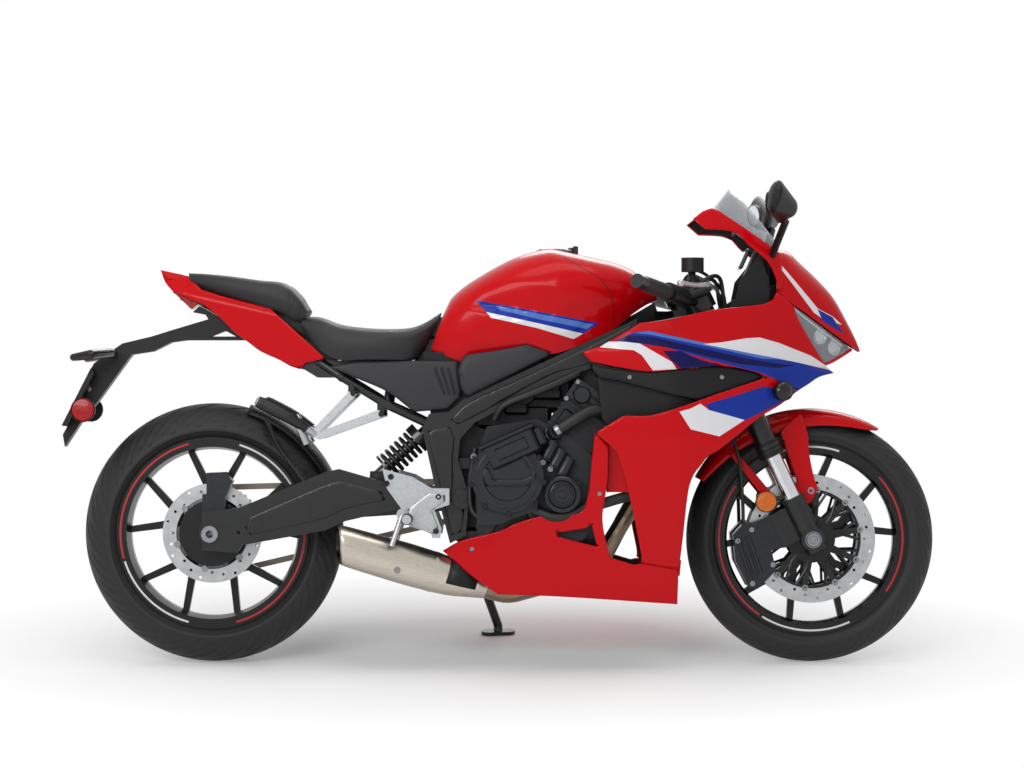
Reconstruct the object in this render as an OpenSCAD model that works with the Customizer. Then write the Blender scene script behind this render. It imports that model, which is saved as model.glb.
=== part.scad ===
// Sport motorcycle parked on its side stand. Millimetres; x forward, y to the rider's left, z up.
// Every module is drawn on an upright bike standing on z = 0, then parked() leans it onto the stand.

/* [Stance] */
// Lean of the parked bike towards its stand, degrees
lean = 10; // [9:0.5:11]
// Distance between the wheel axles
wheelbase = 1449; // [1440:1:1460]
// Steering head angle from the vertical, degrees
rake = 25.5; // [25:0.1:26]
// Distance of the fork legs ahead of the steering axis
fork_offset = 38; // [36:1:40]
// Forward shift that puts the origin under the middle of the bike
shift_x = 35; // [30:1:40]
// Sideways shift that puts the origin under the middle of the bike
shift_y = -178; // [-185:1:-170]

/* [Wheels] */
// Radius of the front tyre
front_r = 300; // [298:1:302]
// Half width of the front tyre
front_half_w = 59; // [57:1:60]
// Radius of the front tyre's crown across the tread
front_crown = 62; // [60:1:64]
// Radius of the rear tyre
rear_r = 314; // [312:1:316]
// Half width of the rear tyre
rear_half_w = 89; // [87:1:90]
// Radius of the rear tyre's crown across the tread
rear_crown = 95; // [93:1:97]
// Radius of the rims at the tyre's bead seat
bead_r = 222; // [221:1:223]
// Half width of the front rim between its flanges
front_rim_w = 45; // [44:1:46]
// Half width of the rear rim between its flanges
rear_rim_w = 70; // [69:1:71]
// Number of forked spokes in a wheel
spokes = 5; // [4:1:6]
// Half angle between the two tips of a front spoke, degrees
front_fork_angle = 18; // [17:1:19]
// Half angle between the two tips of a rear spoke, degrees
rear_fork_angle = 18; // [17:1:19]
// Radius of both axles
axle_r = 12.5; // [12:0.5:13]
// Radius of the bore through both axles
axle_bore_r = 9; // [8:0.5:9.5]

/* [Brakes and drive] */
// Outer radius of a front brake disc
front_disc_r = 155; // [150:1:158]
// Outer radius of the rear brake disc
rear_disc_r = 120; // [115:1:122]
// Thickness of a brake disc
disc_t = 4.5; // [4:0.5:5]
// Teeth on the rear sprocket
teeth = 42; // [40:1:43]
// Pitch of the chain
chain_pitch = 15.875; // [15.8:0.005:15.9]
// Distance of the chain line from the bike's middle
chain_y = 107; // [106.5:0.5:107.5]

/* [Fork and bars] */
// Distance of a fork leg from the bike's middle
leg_y = 105; // [103:1:107]
// Radius of the outer fork tubes
outer_tube_r = 26; // [25:0.5:27]
// Radius of the bright inner fork tubes
inner_tube_r = 20.5; // [20:0.5:21]
// Radius of a handlebar tube
bar_r = 11; // [10.5:0.5:11.5]
// Radius of a handlebar grip
grip_r = 17; // [16:0.5:18]

/* [Frame] */
// Inner face of the frame spars from the middle
spar_in = 108; // [107:1:109]
// Outer face of the frame spars from the middle
spar_out = 138; // [136:1:140]
// Radius of the swingarm pivot shaft
pivot_r = 12; // [11:0.5:13]
// Inner face of the swingarm's rear arms from the middle
arm_in = 128; // [127:1:129]
// Outer face of the swingarm's rear arms from the middle
arm_out = 162; // [160:1:164]

/* [Bodywork] */
// Largest half width of the fairing
fairing_w = 240; // [236:1:244]
// Thickness of the fairing panels
skin_t = 5; // [4:0.5:6]
// Length of the side stand from its pivot to the middle of its foot
stand_len = 253; // [250:1:256]

/* [Hidden] */
front_x = wheelbase / 2;
rear_x = -wheelbase / 2;
rear_z = rear_r;
lift = rear_crown * (1 - cos(lean));
front_z = front_r - (rear_crown - front_crown) * (1 - cos(lean));
sprocket_r = chain_pitch / (2 * sin(180 / teeth));
pivot_x = -120;
pivot_z = 398;
drive_x = -60;
drive_z = 400;
drive_r = 38;
$fn = 48;
eps = 0.2;

// Places one module of the upright bike as it stands parked
module parked() translate([shift_x, shift_y, lift]) rotate([-lean, 0, 0]) children();
// A solid between two distances from the middle, seen from the side as the outline
module slab(y0, y1) translate([0, y1, 0]) rotate([90, 0, 0]) linear_extrude(y1 - y0) children();
// The same solid on both sides of the bike
module both() { children(); mirror([0, 1, 0]) children(); }
// A round bar from one point to another
module rod(p, q, r) {
  d = q - p;
  translate(p) rotate([0, acos(d.z / norm(d)), atan2(d.y, d.x)]) cylinder(r = r, h = norm(d));
}
// A round bar across the bike
module cross(x, z, y0, y1, r) translate([x, y1, z]) rotate([90, 0, 0]) cylinder(r = r, h = y1 - y0);
// The fork's own frame: origin at the front axle, z up along the legs
module fork() translate([front_x, 0, front_z]) rotate([0, -rake, 0]) children();

// Value of a column table at a place, by straight lines between its rows
function at(t, x, c = 1) = x <= t[0][0] ? t[0][c]
  : x >= t[len(t) - 1][0] ? t[len(t) - 1][c]
  : let (i = [for (k = [0:len(t) - 2]) if (x <= t[k + 1][0]) k][0],
         f = (x - t[i][0]) / (t[i + 1][0] - t[i][0])) t[i][c] + f * (t[i + 1][c] - t[i][c]);
// Joins closed rings of points into one solid
module loft(rings, open_shell = false) {
  n = len(rings[0]);
  m = len(rings);
  e = (m - 1) * n;
  strip = [for (j = [0:n / 2 - 2]) each [[j, j + 1, n - 1 - j], [j + 1, n - 2 - j, n - 1 - j]]];
  near = open_shell ? strip : [[for (j = [0:n - 1]) j]];
  far = open_shell ? [for (f = strip) [f[2] + e, f[1] + e, f[0] + e]] : [[for (j = [n - 1:-1:0]) e + j]];
  polyhedron([for (r = rings) each r], concat(near,
    [for (i = [0:m - 2]) for (j = [0:n - 1]) let (a = i * n + j, b = i * n + (j + 1) % n)
      each [[a, a + n, b], [b, a + n, b + n]]],
    far));
}
// A skin on the right-hand side, its outer face at the half width form(x, z)
module skin(x0, x1, z0, z1, nx, nz, t, form) {
  w = nz + 1;
  q = (nx + 1) * w;
  g = [for (i = [0:nx]) for (j = [0:nz]) [x0 + (x1 - x0) * i / nx, z0 + (z1 - z0) * j / nz]];
  cells = [for (i = [0:nx - 1]) for (j = [0:nz - 1]) i * w + j];
  rim = concat([for (i = [0:nx - 1]) i * w], [for (j = [0:nz - 1]) nx * w + j],
    [for (i = [nx:-1:1]) i * w + nz], [for (j = [nz:-1:1]) j]);
  polyhedron(
    concat([for (p = g) [p.x, -form(p.x, p.y), p.y]], [for (p = g) [p.x, t - form(p.x, p.y), p.y]]),
    concat([for (c = cells) each [[c, c + 1, c + w], [c + 1, c + w + 1, c + w]]],
      [for (c = cells) each [[q + c, q + c + w, q + c + 1], [q + c + 1, q + c + w, q + c + w + 1]]],
      [for (k = [0:len(rim) - 1]) let (a = rim[k], b = rim[(k + 1) % len(rim)])
        each [[a, b, q + a], [b, q + b, q + a]]]));
}

// Half width of the fairing at a place along and up the bike
function nose_share(x) = x > 380 ? 1 - pow((x - 380) / 480, 2) : 1 - 0.00033 * (380 - x);
function height_share(z) = z < 700 ? 1 - 0.32 * pow((700 - z) / 500, 2)
  : 1 - 0.2 * pow((z - 700) / 330, 2);
fairing_form = function (x, z) max(12, fairing_w * nose_share(x) * height_share(z));
// Half width of the tail at a place along the bike: place, half width
tail_widths = [[-860, 34], [-760, 62], [-640, 92], [-520, 112], [-440, 120]];
tail_form = function (x, z) at(tail_widths, x) - 0.0012 * pow(z - 840, 2) / 2;

// Frame

spar_outline = [[300, 831], [300, 776], [190, 712], [103, 684], [-24, 616],
  [-91, 580], [-125, 560], [-151, 560], [-216, 566], [-200, 602], [-151, 607], [-115, 638]];
pivot_outline = [[-216, 566], [-209, 535], [-187, 436], [-149, 291], [-111, 311], [-103, 407],
  [-130, 491], [-125, 542], [-91, 580], [-150, 590]];
head_outline = [[372, 850], [421, 858], [464, 768], [402, 770]];
// Front end of a spar: four corners where it leaves the straight part, four at the head
spar_front = [[[299, spar_in, 776], [299, spar_out, 776], [299, spar_out, 831], [299, spar_in, 831]],
  [[345, 74, 782], [345, 108, 782], [345, 108, 850], [345, 74, 850]],
  [[402, 26, 770], [402, 52, 770], [390, 52, 850], [390, 26, 850]]];
module main_frame() color("#2b2c2e") parked() difference() {
  union() {
    both() slab(spar_in, spar_out) polygon(spar_outline);
    both() slab(spar_in + 10, spar_out) polygon(pivot_outline);
    both() loft(spar_front);
    slab(-50, 50) polygon(head_outline);
    fork() translate([-fork_offset, 0, 522]) cylinder(r = 42, h = 116);
    cross(-172, 585, -spar_in - 5, spar_in + 5, 16);
    translate([-135, 118, 235]) cube([60, 20, 75]);
  }
  fork() translate([-fork_offset, 0, 400]) cylinder(r = 27.2, h = 400);
  cross(pivot_x, pivot_z, -200, 200, pivot_r + 0.05);
  parked_stand_hole();
}
module parked_stand_hole() translate(stand_pivot) stand_axis() cylinder(r = 7.2, h = 120, center = true);

rail_points = [[-205, 112, 580], [-300, 112, 624], [-409, 106, 691], [-560, 60, 790], [-745, 38, 872]];
tray_outline = [[-150, 690], [-150, 731], [-470, 731], [-520, 770], [-560, 745], [-470, 690]];
tail_box = [[-470, 731], [-520, 806], [-575, 838], [-752, 895], [-775, 898], [-760, 866], [-640, 798],
  [-560, 745]];
module subframe() color("#232426") parked() difference() {
  union() {
    both() for (i = [0:len(rail_points) - 2]) {
      rod(rail_points[i], rail_points[i + 1], 11);
      translate(rail_points[i + 1]) sphere(r = 12.5);
    }
    slab(-92, 92) polygon(tray_outline);
    slab(-35, 35) polygon(tail_box);
    both() for (p = [[-386, 677, 645], [-316, 634, 600]])
      rod([p.x, 108, p.y], [p.x, 119.8, p.z], 9);
    both() rod([-300, 111, 626], [-290, 84, 705], 10);
  }
  both() slab(spar_in - 0.2, spar_out + 1) polygon(spar_outline);
  both() slab(spar_in + 9.8, spar_out + 1) polygon(pivot_outline);
  both() slab(119.7, 150) polygon([[-420, 590], [-420, 670], [-290, 670], [-290, 580]]);
  cross(-172, 585, -spar_in - 5, spar_in + 5, 16.2);
}

// Swingarm, axle, shock

right_arm = [[-743, 367], [-655, 377], [-448, 463], [-415, 470], [-307, 439], [-250, 420], [-240, 375],
  [-307, 367], [-400, 345], [-448, 323], [-645, 288], [-659, 269], [-743, 275]];
left_arm = [[-750, 352], [-640, 364], [-400, 412], [-240, 412], [-240, 362], [-400, 350], [-640, 288],
  [-750, 276]];
module swingarm() color("#2a2b2d") parked() difference() {
  union() {
    slab(-arm_out, -arm_in) polygon(right_arm);
    slab(arm_in - 6, arm_out - 6) polygon(left_arm);
    slab(-arm_in - 1, arm_in - 5) polygon([[-392, 352], [-392, 408], [-235, 412], [-235, 362]]);
    both() slab(40, 95) polygon([[-240, 362], [-240, 412], [-120, 424], [-104, 398], [-120, 372]]);
    cross(pivot_x, pivot_z, -96, 96, 26);
    both() slab(17, 28) polygon([[-350, 400], [-345, 462], [-312, 462], [-270, 405]]);
  }
  cross(pivot_x, pivot_z, -200, 200, pivot_r + 0.05);
  cross(rear_x, rear_z, -300, 300, axle_r + 0.05);
  cross(-330, 450, -60, 60, 6.05);
  both() cross(-655, 318, arm_in + 2, 300, 4);
}
module rear_axle() color("#8d9094") parked() difference() {
  union() {
    cross(rear_x, rear_z, -172, 166, axle_r);
    cross(rear_x, rear_z, -172, -163, 20);
    cross(rear_x, rear_z, 157, 166, 20);
    cross(rear_x, rear_z, 112.5, 121.8, 20);
    cross(rear_x, rear_z, -113, -76, 20);
    cross(pivot_x, pivot_z, -147, 147, pivot_r);
    both() cross(pivot_x, pivot_z, 138.2, 147, 23);
  }
  cross(rear_x, rear_z, -300, 300, axle_bore_r);
}
shock_low = [-330, 0, 450];
shock_high = [-186, 0, 582];
module rear_shock() color("#202124") parked() {
  d = (shock_high - shock_low) / norm(shock_high - shock_low);
  cross(shock_low.x, shock_low.z, -29, 29, 6);
  cross(shock_low.x, shock_low.z, -16, 16, 14);
  rod(shock_low, shock_low + 150 * d, 13);
  rod(shock_low + 30 * d, shock_low + 36 * d, 36);
  rod(shock_low + 128 * d, shock_low + 150 * d, 36);
  for (k = [0:5]) translate(shock_low + (44 + 15 * k) * d)
    rotate([0, acos(d.z), 0]) rotate_extrude() translate([29, 0]) circle(r = 5);
  for (k = [0:5]) rod(shock_low + (40 + 15 * k) * d, shock_low + (47 + 15 * k) * d, 25.5);
  rod(shock_low + 150 * d, shock_low + 178.5 * d, 15);
}

// Engine

case_outline = [[-86, 330], [-80, 300], [40, 286], [170, 298], [205, 350], [216, 420], [196, 500],
  [120, 560], [60, 590], [-60, 572], [-88, 500], [-88, 420]];
sump_outline = [[-60, 300], [-40, 250], [120, 248], [160, 300]];
module engine_cases() color("#333437") parked() difference() {
  union() {
    slab(-150, 92) polygon(case_outline);
    slab(92, 150) polygon([for (p = case_outline) [max(p.x, -8), p.y]]);
    slab(-80, 80) polygon(sump_outline);
    translate([-135, -117.8, 296]) cube([60, 235.6, 24]);
    translate([-135, -117.8, 470]) cube([60, 205, 26]);
    cross(drive_x, drive_z, 90, 110.5, 28);
    both() cross(crank_x, crank_z, 148, 168, crank_r);
    cross(clutch_x, clutch_z, 149, 172, 84);
  }
  both() slab(117.9, 160) polygon(pivot_outline);
}
clutch_x = -11;
clutch_z = 452;
crank_x = 120;
crank_z = 410;
crank_r = 43;
head_tilt = 35;
module block_frame() translate([120, 0, 520]) rotate([0, head_tilt, 0]) children();
module cylinder_head() color("#3a3b3e") parked() difference() {
  block_frame() {
    translate([-62, -140, 20]) cube([124, 280, 78]);
    for (k = [0:4]) translate([-65, -145, 30 + 14 * k]) cube([130, 290, 6]);
    translate([-66, -148, 98]) cube([132, 296, 62]);
    translate([-54, -100, 160]) cube([108, 200, 34]);
    for (k = [-1:2:1]) translate([28 * k, 0, 160]) rotate([90, 0, 0]) cylinder(r = 26, h = 199,
      center = true);
  }
  slab(-150.2, 150.2) polygon(case_outline);
  both() slab(spar_in - 3, spar_out + 3) polygon([for (p = spar_outline) [p.x, p.y - 2]]);
}
module clutch_cover() color("#3d3e41") parked() {
  cross(clutch_x, clutch_z, -206, -150.2, 86);
  cross(clutch_x, clutch_z, -212, -200, 74);
  for (k = [0:8]) rotate_about(clutch_x, clutch_z, 40 * k + 8)
    cross(clutch_x + 88, clutch_z, -204, -150.2, 7);
  slab(-188, -150.2) polygon(clutch_skirt);
}
clutch_skirt = [[-60, 400], [-84, 460], [-84, 336], [-29, 338], [7, 354], [60, 372], [60, 400]];
module rotate_about(x, z, a) translate([x, 0, z]) rotate([0, a, 0]) translate([-x, 0, -z]) children();
module generator_cover() color("#3d3e41") parked() {
  cross(crank_x, crank_z, -196, -168.2, crank_r);
  cross(crank_x, crank_z, -200, -190, 28);
  cross(crank_x, crank_z, 168.2, 208, crank_r);
  cross(clutch_x, clutch_z, 172.2, 196, 84);
  slab(119, 148.5) polygon([[-12, 330], [-12, 520], [-85, 505], [-92, 430], [-92, 400], [-86, 330]]);
}
module radiator() color("#2d2e30") parked() {
  slab(-150, 150) polygon([[384, 402], [404, 399], [440, 634], [420, 637]]);
  both() slab(150, 172) polygon([[378, 396], [410, 392], [447, 638], [414, 643]]);
  for (k = [0:21]) translate([372, -149, 404 + 10.5 * k]) rotate([0, 8.6, 0])
    translate([1.5 * k, 0, 0]) cube([36, 298, 1.4]);
  both() block_frame() translate([66.2, 75, 118]) rotate([0, 90, 0]) cylinder(r = 8, h = 112);
}

// A round pipe along points, with rounded bends between them
function bend(p, n) = concat([p[0]], [for (i = [1:len(p) - 2]) for (k = [0:n]) let (t = k / n,
  a = p[i] + 0.42 * (p[i - 1] - p[i]), b = p[i] + 0.42 * (p[i + 1] - p[i]))
  (1 - t) * (1 - t) * a + 2 * t * (1 - t) * p[i] + t * t * b], [p[len(p) - 1]]);
function unit(v) = v / norm(v);
function ring3(c, d, r, n) = let (u = unit(cross([0.02, 1, 0.03], d)), v = cross(d, u))
  [for (j = [0:n - 1]) c + r * (cos(360 * j / n) * u + sin(360 * j / n) * v)];
module pipe(p, r, n = 12, steps = 3) {
  q = bend(p, steps);
  m = len(q) - 1;
  loft([for (i = [0:m]) ring3(q[i], unit(q[min(i + 1, m)] - q[max(i - 1, 0)]), r, n)]);
}
// Exhaust ports: distance from the middle at the head, and at the collector
ports = [[-112, -58], [-38, -52], [38, -24], [112, -20]];
module exhaust_headers() color("#6d6257") parked() {
  for (i = [0:3]) {
    a = ports[i][0];
    b = ports[i][1];
    up = i % 2 == 0 ? 24 : 0;
    pipe([[257, a, 557], [318, a, 512], [322, 0.9 * a, 430], [270, 0.7 * a, 340],
      [195, 0.5 * a + 0.5 * b, 196 + up], [60, b, 180 + up]], 18);
  }
  d = unit(silencer_b - silencer_a);
  pipe([[78, -40, 191], [36, -50, 180], silencer_b + 56 * d, silencer_b + 0.4 * d], 27);
}
// Silencer stations along its length: share, half height, half width
silencer_rows = [[0, 40, 46], [0.03, 46, 52], [0.5, 50, 54], [0.75, 46, 50], [0.9, 36, 42],
  [1, 28.5, 28.5]];
silencer_a = [-418, -150, 290];
silencer_b = [-64, -80, 184];
module silencer() color("#b7ac9b") parked() difference() {
  d = unit(silencer_b - silencer_a);
  u = unit(cross(d, [0, 1, 0]));
  v = cross(d, u);
  loft([for (s = silencer_rows) [for (j = [0:27]) silencer_a + s[0] * (silencer_b - silencer_a)
    + s[1] * cos(360 * j / 28) * u + s[2] * sin(360 * j / 28) * v
    - (s[0] < 0.1 ? 0.35 * s[1] * cos(360 * j / 28) * d : 0 * d)]]);
  rod(silencer_a - 60 * d, silencer_a + 70 * d, 24);
}

// Tank, seats and tail

// Ring of a rounded body: low x, low z, top x, top z, share of height at its widest, half widths
// low and wide
function body_ring(r, round_up, n) = let (h = r[3] - r[1], zm = r[1] + r[4] * h,
  half = concat([[0, r[1]], [r[5] * 0.6, r[1]], [r[5], r[1]],
    [(r[5] + r[6]) / 2 + 0.15 * (r[6] - r[5]), r[1] + 0.5 * (zm - r[1])]],
    [for (k = [0:n]) let (a = 90 * k / n)
      [r[6] * pow(cos(a), round_up), zm + (r[3] - zm) * pow(sin(a), round_up)]]),
  m = len(half) - 1, side = concat([half[m]], [for (i = [m - 1:-1:1]) [-half[i][0], half[i][1]]],
    [for (i = [0:m - 1]) half[i]]))
  [for (p = side) [r[0] + (r[2] - r[0]) * (p[1] - r[1]) / h, p[0], p[1]]];
tank_rows = [
  [-196, 756, -160, 858, 0.4, 96, 104], [-160, 742, -146, 884, 0.4, 112, 122],
  [-118, 746, -112, 914, 0.45, 124, 138], [-60, 760, -54, 950, 0.5, 130, 152],
  [0, 770, 0, 978, 0.5, 134, 166], [44, 779, 46, 994, 0.5, 138, 174],
    [88, 768, 90, 1002, 0.55, 142, 178],
  [128, 752, 130, 996, 0.6, 140, 178], [190, 774, 194, 982, 0.6, 134, 164],
  [244, 800, 246, 970, 0.55, 122, 138], [290, 830, 290, 952, 0.5, 96, 108],
  [325, 862, 320, 926, 0.45, 66, 76], [352, 878, 350, 896, 0.5, 30, 36]];
module fuel_tank() color("#c8102e") parked() difference() {
  loft([for (r = tank_rows) body_ring(r, 0.72, 6)]);
  both() slab(60, spar_out + 20) polygon([for (p = spar_outline) [p.x, p.y + 0.4]]);
  slab(-120, 120) polygon([[299, 780], [299, 831.4], [345, 852], [372, 863], [430, 863], [430, 780]]);
  fork() translate([-fork_offset, 0, 500]) cylinder(r = 60, h = 300);
}
// Filler: a ring on the tank with two ears, and a lid that hinges up between them
cap_x = 105;
cap_z = 1004;
hinge_x = cap_x + 50;
module filler_ring() color("#8d9094") parked() difference() {
  union() {
    translate([cap_x, 0, 985]) cylinder(r = 46, h = cap_z - 985);
    both() slab(10, 15) polygon([[hinge_x - 8, 985], [hinge_x - 8, cap_z + 6],
      [hinge_x + 6, cap_z + 6], [hinge_x + 8, 980]]);
  }
  cross(hinge_x, cap_z + 3.5, -20, 20, 2.06);
  translate([cap_x, 0, 900]) cylinder(r = 24, h = 200);
  loft([for (r = tank_rows) body_ring([r[0], r[1], r[2], r[3] + 0.3, r[4], r[5], r[6]], 0.72, 6)]);
}
module fuel_cap() color("#9a9da1") parked() {
  translate([cap_x, 0, cap_z + eps]) cylinder(r = 41, h = 7);
  translate([cap_x, 0, cap_z + eps]) cylinder(r = 27, h = 9);
  slab(-9.7, 9.7) polygon([[cap_x + 34, cap_z + eps], [cap_x + 34, cap_z + 7], [hinge_x, cap_z + 7],
    [hinge_x, cap_z + eps]]);
  cross(hinge_x, cap_z + 3.5, -9.7, 9.7, 3.6);
  cross(hinge_x, cap_z + 3.5, -15, 15, 2);
}
knee_outline = [[-122, 734], [-108, 745], [-26, 758], [36, 771], [93, 751], [88, 741], [-108, 641],
  [-122, 662], [-131, 707]];
module knee_panels() color("#3b3c40") parked() both() difference() {
  union() {
    slab(-152, -146) polygon(knee_outline);
    slab(-147, -spar_out - eps) polygon([[-46, 700], [-16, 712], [-16, 668], [-46, 654]]);
    slab(-147, -spar_out - eps) polygon([[34, 735], [60, 746], [60, 704], [34, 692]]);
  }
}
rider_rows = [
  [-512, 812, -500, 838, 0.4, 92, 96], [-470, 762, -462, 836, 0.5, 112, 118],
    [-420, 731.4, -414, 819, 0.5, 128, 136],
  [-360, 731.4, -360, 811, 0.5, 138, 148], [-300, 731.4, -300, 808, 0.5, 138, 150],
    [-250, 731.4, -246, 811, 0.5, 126, 138],
  [-225, 742, -210, 824, 0.5, 108, 118], [-206, 760, -172, 848, 0.5, 84, 92]];
module rider_seat() color("#26272a") parked() difference() {
  loft([for (r = rider_rows) body_ring(r, 0.55, 5)]);
  slab(-93, 93) polygon([for (p = tray_outline) [p.x, p.y + eps]]);
  slab(-200, 200) polygon([[-560, 700], [-560, 850], [-520, 826], [-440, 733], [-440, 700]]);
  loft([for (r = tank_rows) body_ring([r[0] - 1, r[1] - 1, r[2] - 1, r[3] + 1, r[4], r[5] + 1,
    r[6] + 1], 0.72, 6)]);
}
pillion_rows = [
  [-776, 912, -786, 944, 0.4, 30, 44], [-740, 902, -744, 942, 0.5, 52, 66],
    [-680, 884, -682, 936, 0.5, 74, 90],
  [-610, 864, -610, 926, 0.5, 92, 108], [-560, 846, -552, 919, 0.5, 98, 114],
    [-528, 830, -516, 892, 0.5, 98, 112],
  [-506, 826, -490, 854, 0.5, 94, 102]];
module pillion_seat() color("#26272a") parked() difference() {
  loft([for (r = pillion_rows) body_ring(r, 0.5, 5)]);
  slab(-36, 36) polygon([for (p = tail_box) [p.x, p.y + eps]]);
  slab(-200, 200) polygon([[-490, 780], [-530, 826], [-498, 843], [-470, 860], [-440, 780]]);
}
side_outline = [[-440, 715], [-360, 729], [-130, 729], [-126, 690], [-120, 648], [-155, 613],
  [-236, 607],
  [-300, 655], [-380, 690]];
module side_panels() color("#2c2d30") parked() both() difference() {
  union() {
    slab(-131, -126) polygon(side_outline);
    cross(-330, 712, -128, -92 - eps, 8);
    cross(-190, 710, -128, -92 - eps, 8);
  }
  for (k = [0:2]) slab(-140, -120) polygon([[-190 + 16 * k, 712], [-182 + 16 * k, 716],
    [-158 + 12 * k, 650], [-165 + 12 * k, 646]]);
}
tail_outline = [[-855, 952], [-784, 936], [-752, 904], [-704, 889], [-582, 857], [-573, 848],
  [-449, 736],
  [-498, 724], [-511, 710], [-534, 717], [-559, 731], [-609, 754], [-636, 774], [-670, 798], [-704, 832],
  [-752, 869], [-772, 876], [-823, 899], [-843, 922]];
module tail_cowl() color("#c8102e") parked() difference() {
  union() {
    both() intersection() {
      slab(-200, 0) polygon(tail_outline);
      skin(-862, -440, 700, 960, 12, 6, skin_t, tail_form);
    }
    slab(-32, 32) polygon([[-855, 952], [-788, 937], [-792, 925], [-838, 930]]);
    both() for (p = [[-690, 867], [-600, 834]]) cross(p.x, p.y, -tail_form(p.x, p.y) + 2, -35 - eps, 5);
    both() cross(-490, 725, -108, -92 - eps, 4);
  }
  loft([for (r = pillion_rows) body_ring([r[0], r[1] - 1, r[2], r[3], r[4], r[5] + 1, r[6] + 1],
    0.5, 5)]);
  loft([for (r = rider_rows) body_ring([r[0], r[1] - 1, r[2], r[3], r[4], r[5] + 1, r[6] + 1], 0.55,
    5)]);
}
lamp_outline = [[-836, 928], [-795, 923], [-776, 910], [-776, 900], [-756, 873], [-779, 856],
  [-825, 900]];
module tail_lamp() color("#5a1216") parked() difference() {
  slab(-36, 36) polygon(lamp_outline);
  for (d = [0, 1.2]) slab(-36, 36) polygon([for (p = tail_box) [p.x - d, p.y]]);
  both() skin(-862, -440, 700, 960, 12, 6, skin_t + 1, tail_form);
}
arm_outline = [[-760, 864], [-776, 849], [-745, 843], [-738, 832], [-828, 805], [-876, 790],
  [-947, 773], [-966, 760],
  [-932, 736], [-924, 746], [-872, 754], [-828, 776], [-791, 781], [-647, 781], [-625, 786],
    [-640, 797]];
blade_outline = [[-966, 760], [-1016, 725], [-1026, 708], [-1023, 660], [-1045, 643], [-1074, 585],
  [-1092, 551],
  [-1087, 522], [-1050, 579], [-1007, 632], [-932, 736]];
module plate_holder() color("#242528") parked() difference() {
  union() {
    slab(-30, 30) polygon(arm_outline);
    slab(-28, 28) polygon(blade_outline);
    slab(-88, 88) polygon([[-1018, 712], [-1010, 700], [-1078, 572], [-1088, 574]]);
    rod([-1043, -20, 612], [-1058, -20, 620], 27);
    cross(-968, 748, -72.7, 72.7, 9);
  }
  slab(-60, 60) polygon([[-734, 790], [-697, 804], [-671, 790]]);
  both() translate([-1038, 73, 656]) rotate([0, -62, 0]) cylinder(r = 3.5, h = 120, center = true);
}
module rear_indicators() color("#d9822b") parked() both() hull() {
  translate([-970, 84, 750]) sphere(r = 11, $fn = 24);
  translate([-1052, 150, 738]) sphere(r = 9, $fn = 24);
  translate([-1010, 165, 744]) sphere(r = 12, $fn = 24);
}

// Fairing

upper_outline = [[166, 750], [209, 764], [279, 803], [304, 819], [349, 824], [406, 835], [475, 850],
  [525, 856],
  [605, 866], [626, 877], [635, 897], [677, 861], [691, 825], [761, 715], [779, 701], [741, 691],
    [714, 674],
  [686, 657], [645, 626], [589, 592], [494, 517], [468, 502], [447, 476], [433, 458], [421, 422],
    [408, 304],
  [400, 232], [309, 246], [309, 266], [272, 440], [251, 509], [231, 530], [214, 543], [198, 557],
    [264, 598],
  [338, 601], [494, 652], [609, 690], [578, 703], [504, 716], [392, 709], [335, 703], [262, 712],
    [188, 727]];
module fairing_right() color("#c8102e") parked() fairing_side();
module fairing_left() color("#c8102e") parked() mirror([0, 1, 0]) fairing_side();
module fairing_side() {
  intersection() {
    slab(-300, 0) polygon(upper_outline);
    skin(150, 800, 220, 910, 16, 16, skin_t, fairing_form);
  }
  cross(412, 470, -fairing_form(412, 470) + 2, -172 - eps, 9);
  cross(420, 560, -fairing_form(420, 560) + 2, -172 - eps, 9);
}
belly_outline = [[-167, 273], [-124, 297], [-29, 323], [7, 340], [60, 356], [91, 361], [122, 362],
  [159, 364], [173, 377],
  [184, 421], [189, 481], [197, 555], [213, 541], [229, 523], [228, 449], [221, 395], [216, 355],
    [222, 310], [236, 258],
  [294, 241], [308, 244], [399, 229], [397, 145], [115, 163], [-34, 168], [-100, 215]];
belly_hole = [[107, 318], [177, 329], [190, 340], [203, 285], [115, 307]];
module belly_right() color("#c8102e") parked() belly_side();
module belly_left() color("#c8102e") parked() mirror([0, 1, 0]) difference() {
  belly_side();
  translate([-300, -300, 100]) cube([270, 300, 300]);
}
module belly_side() {
  intersection() {
    slab(-300, 0) difference() { polygon(belly_outline); polygon(belly_hole); }
    skin(-180, 410, 140, 560, 16, 12, skin_t, fairing_form);
  }
  cross(60, 325, -fairing_form(60, 325) + 2, -150 - eps, 9);
  cross(-20, 318, -fairing_form(-20, 318) + 2, -150 - eps, 9);
}

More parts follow.
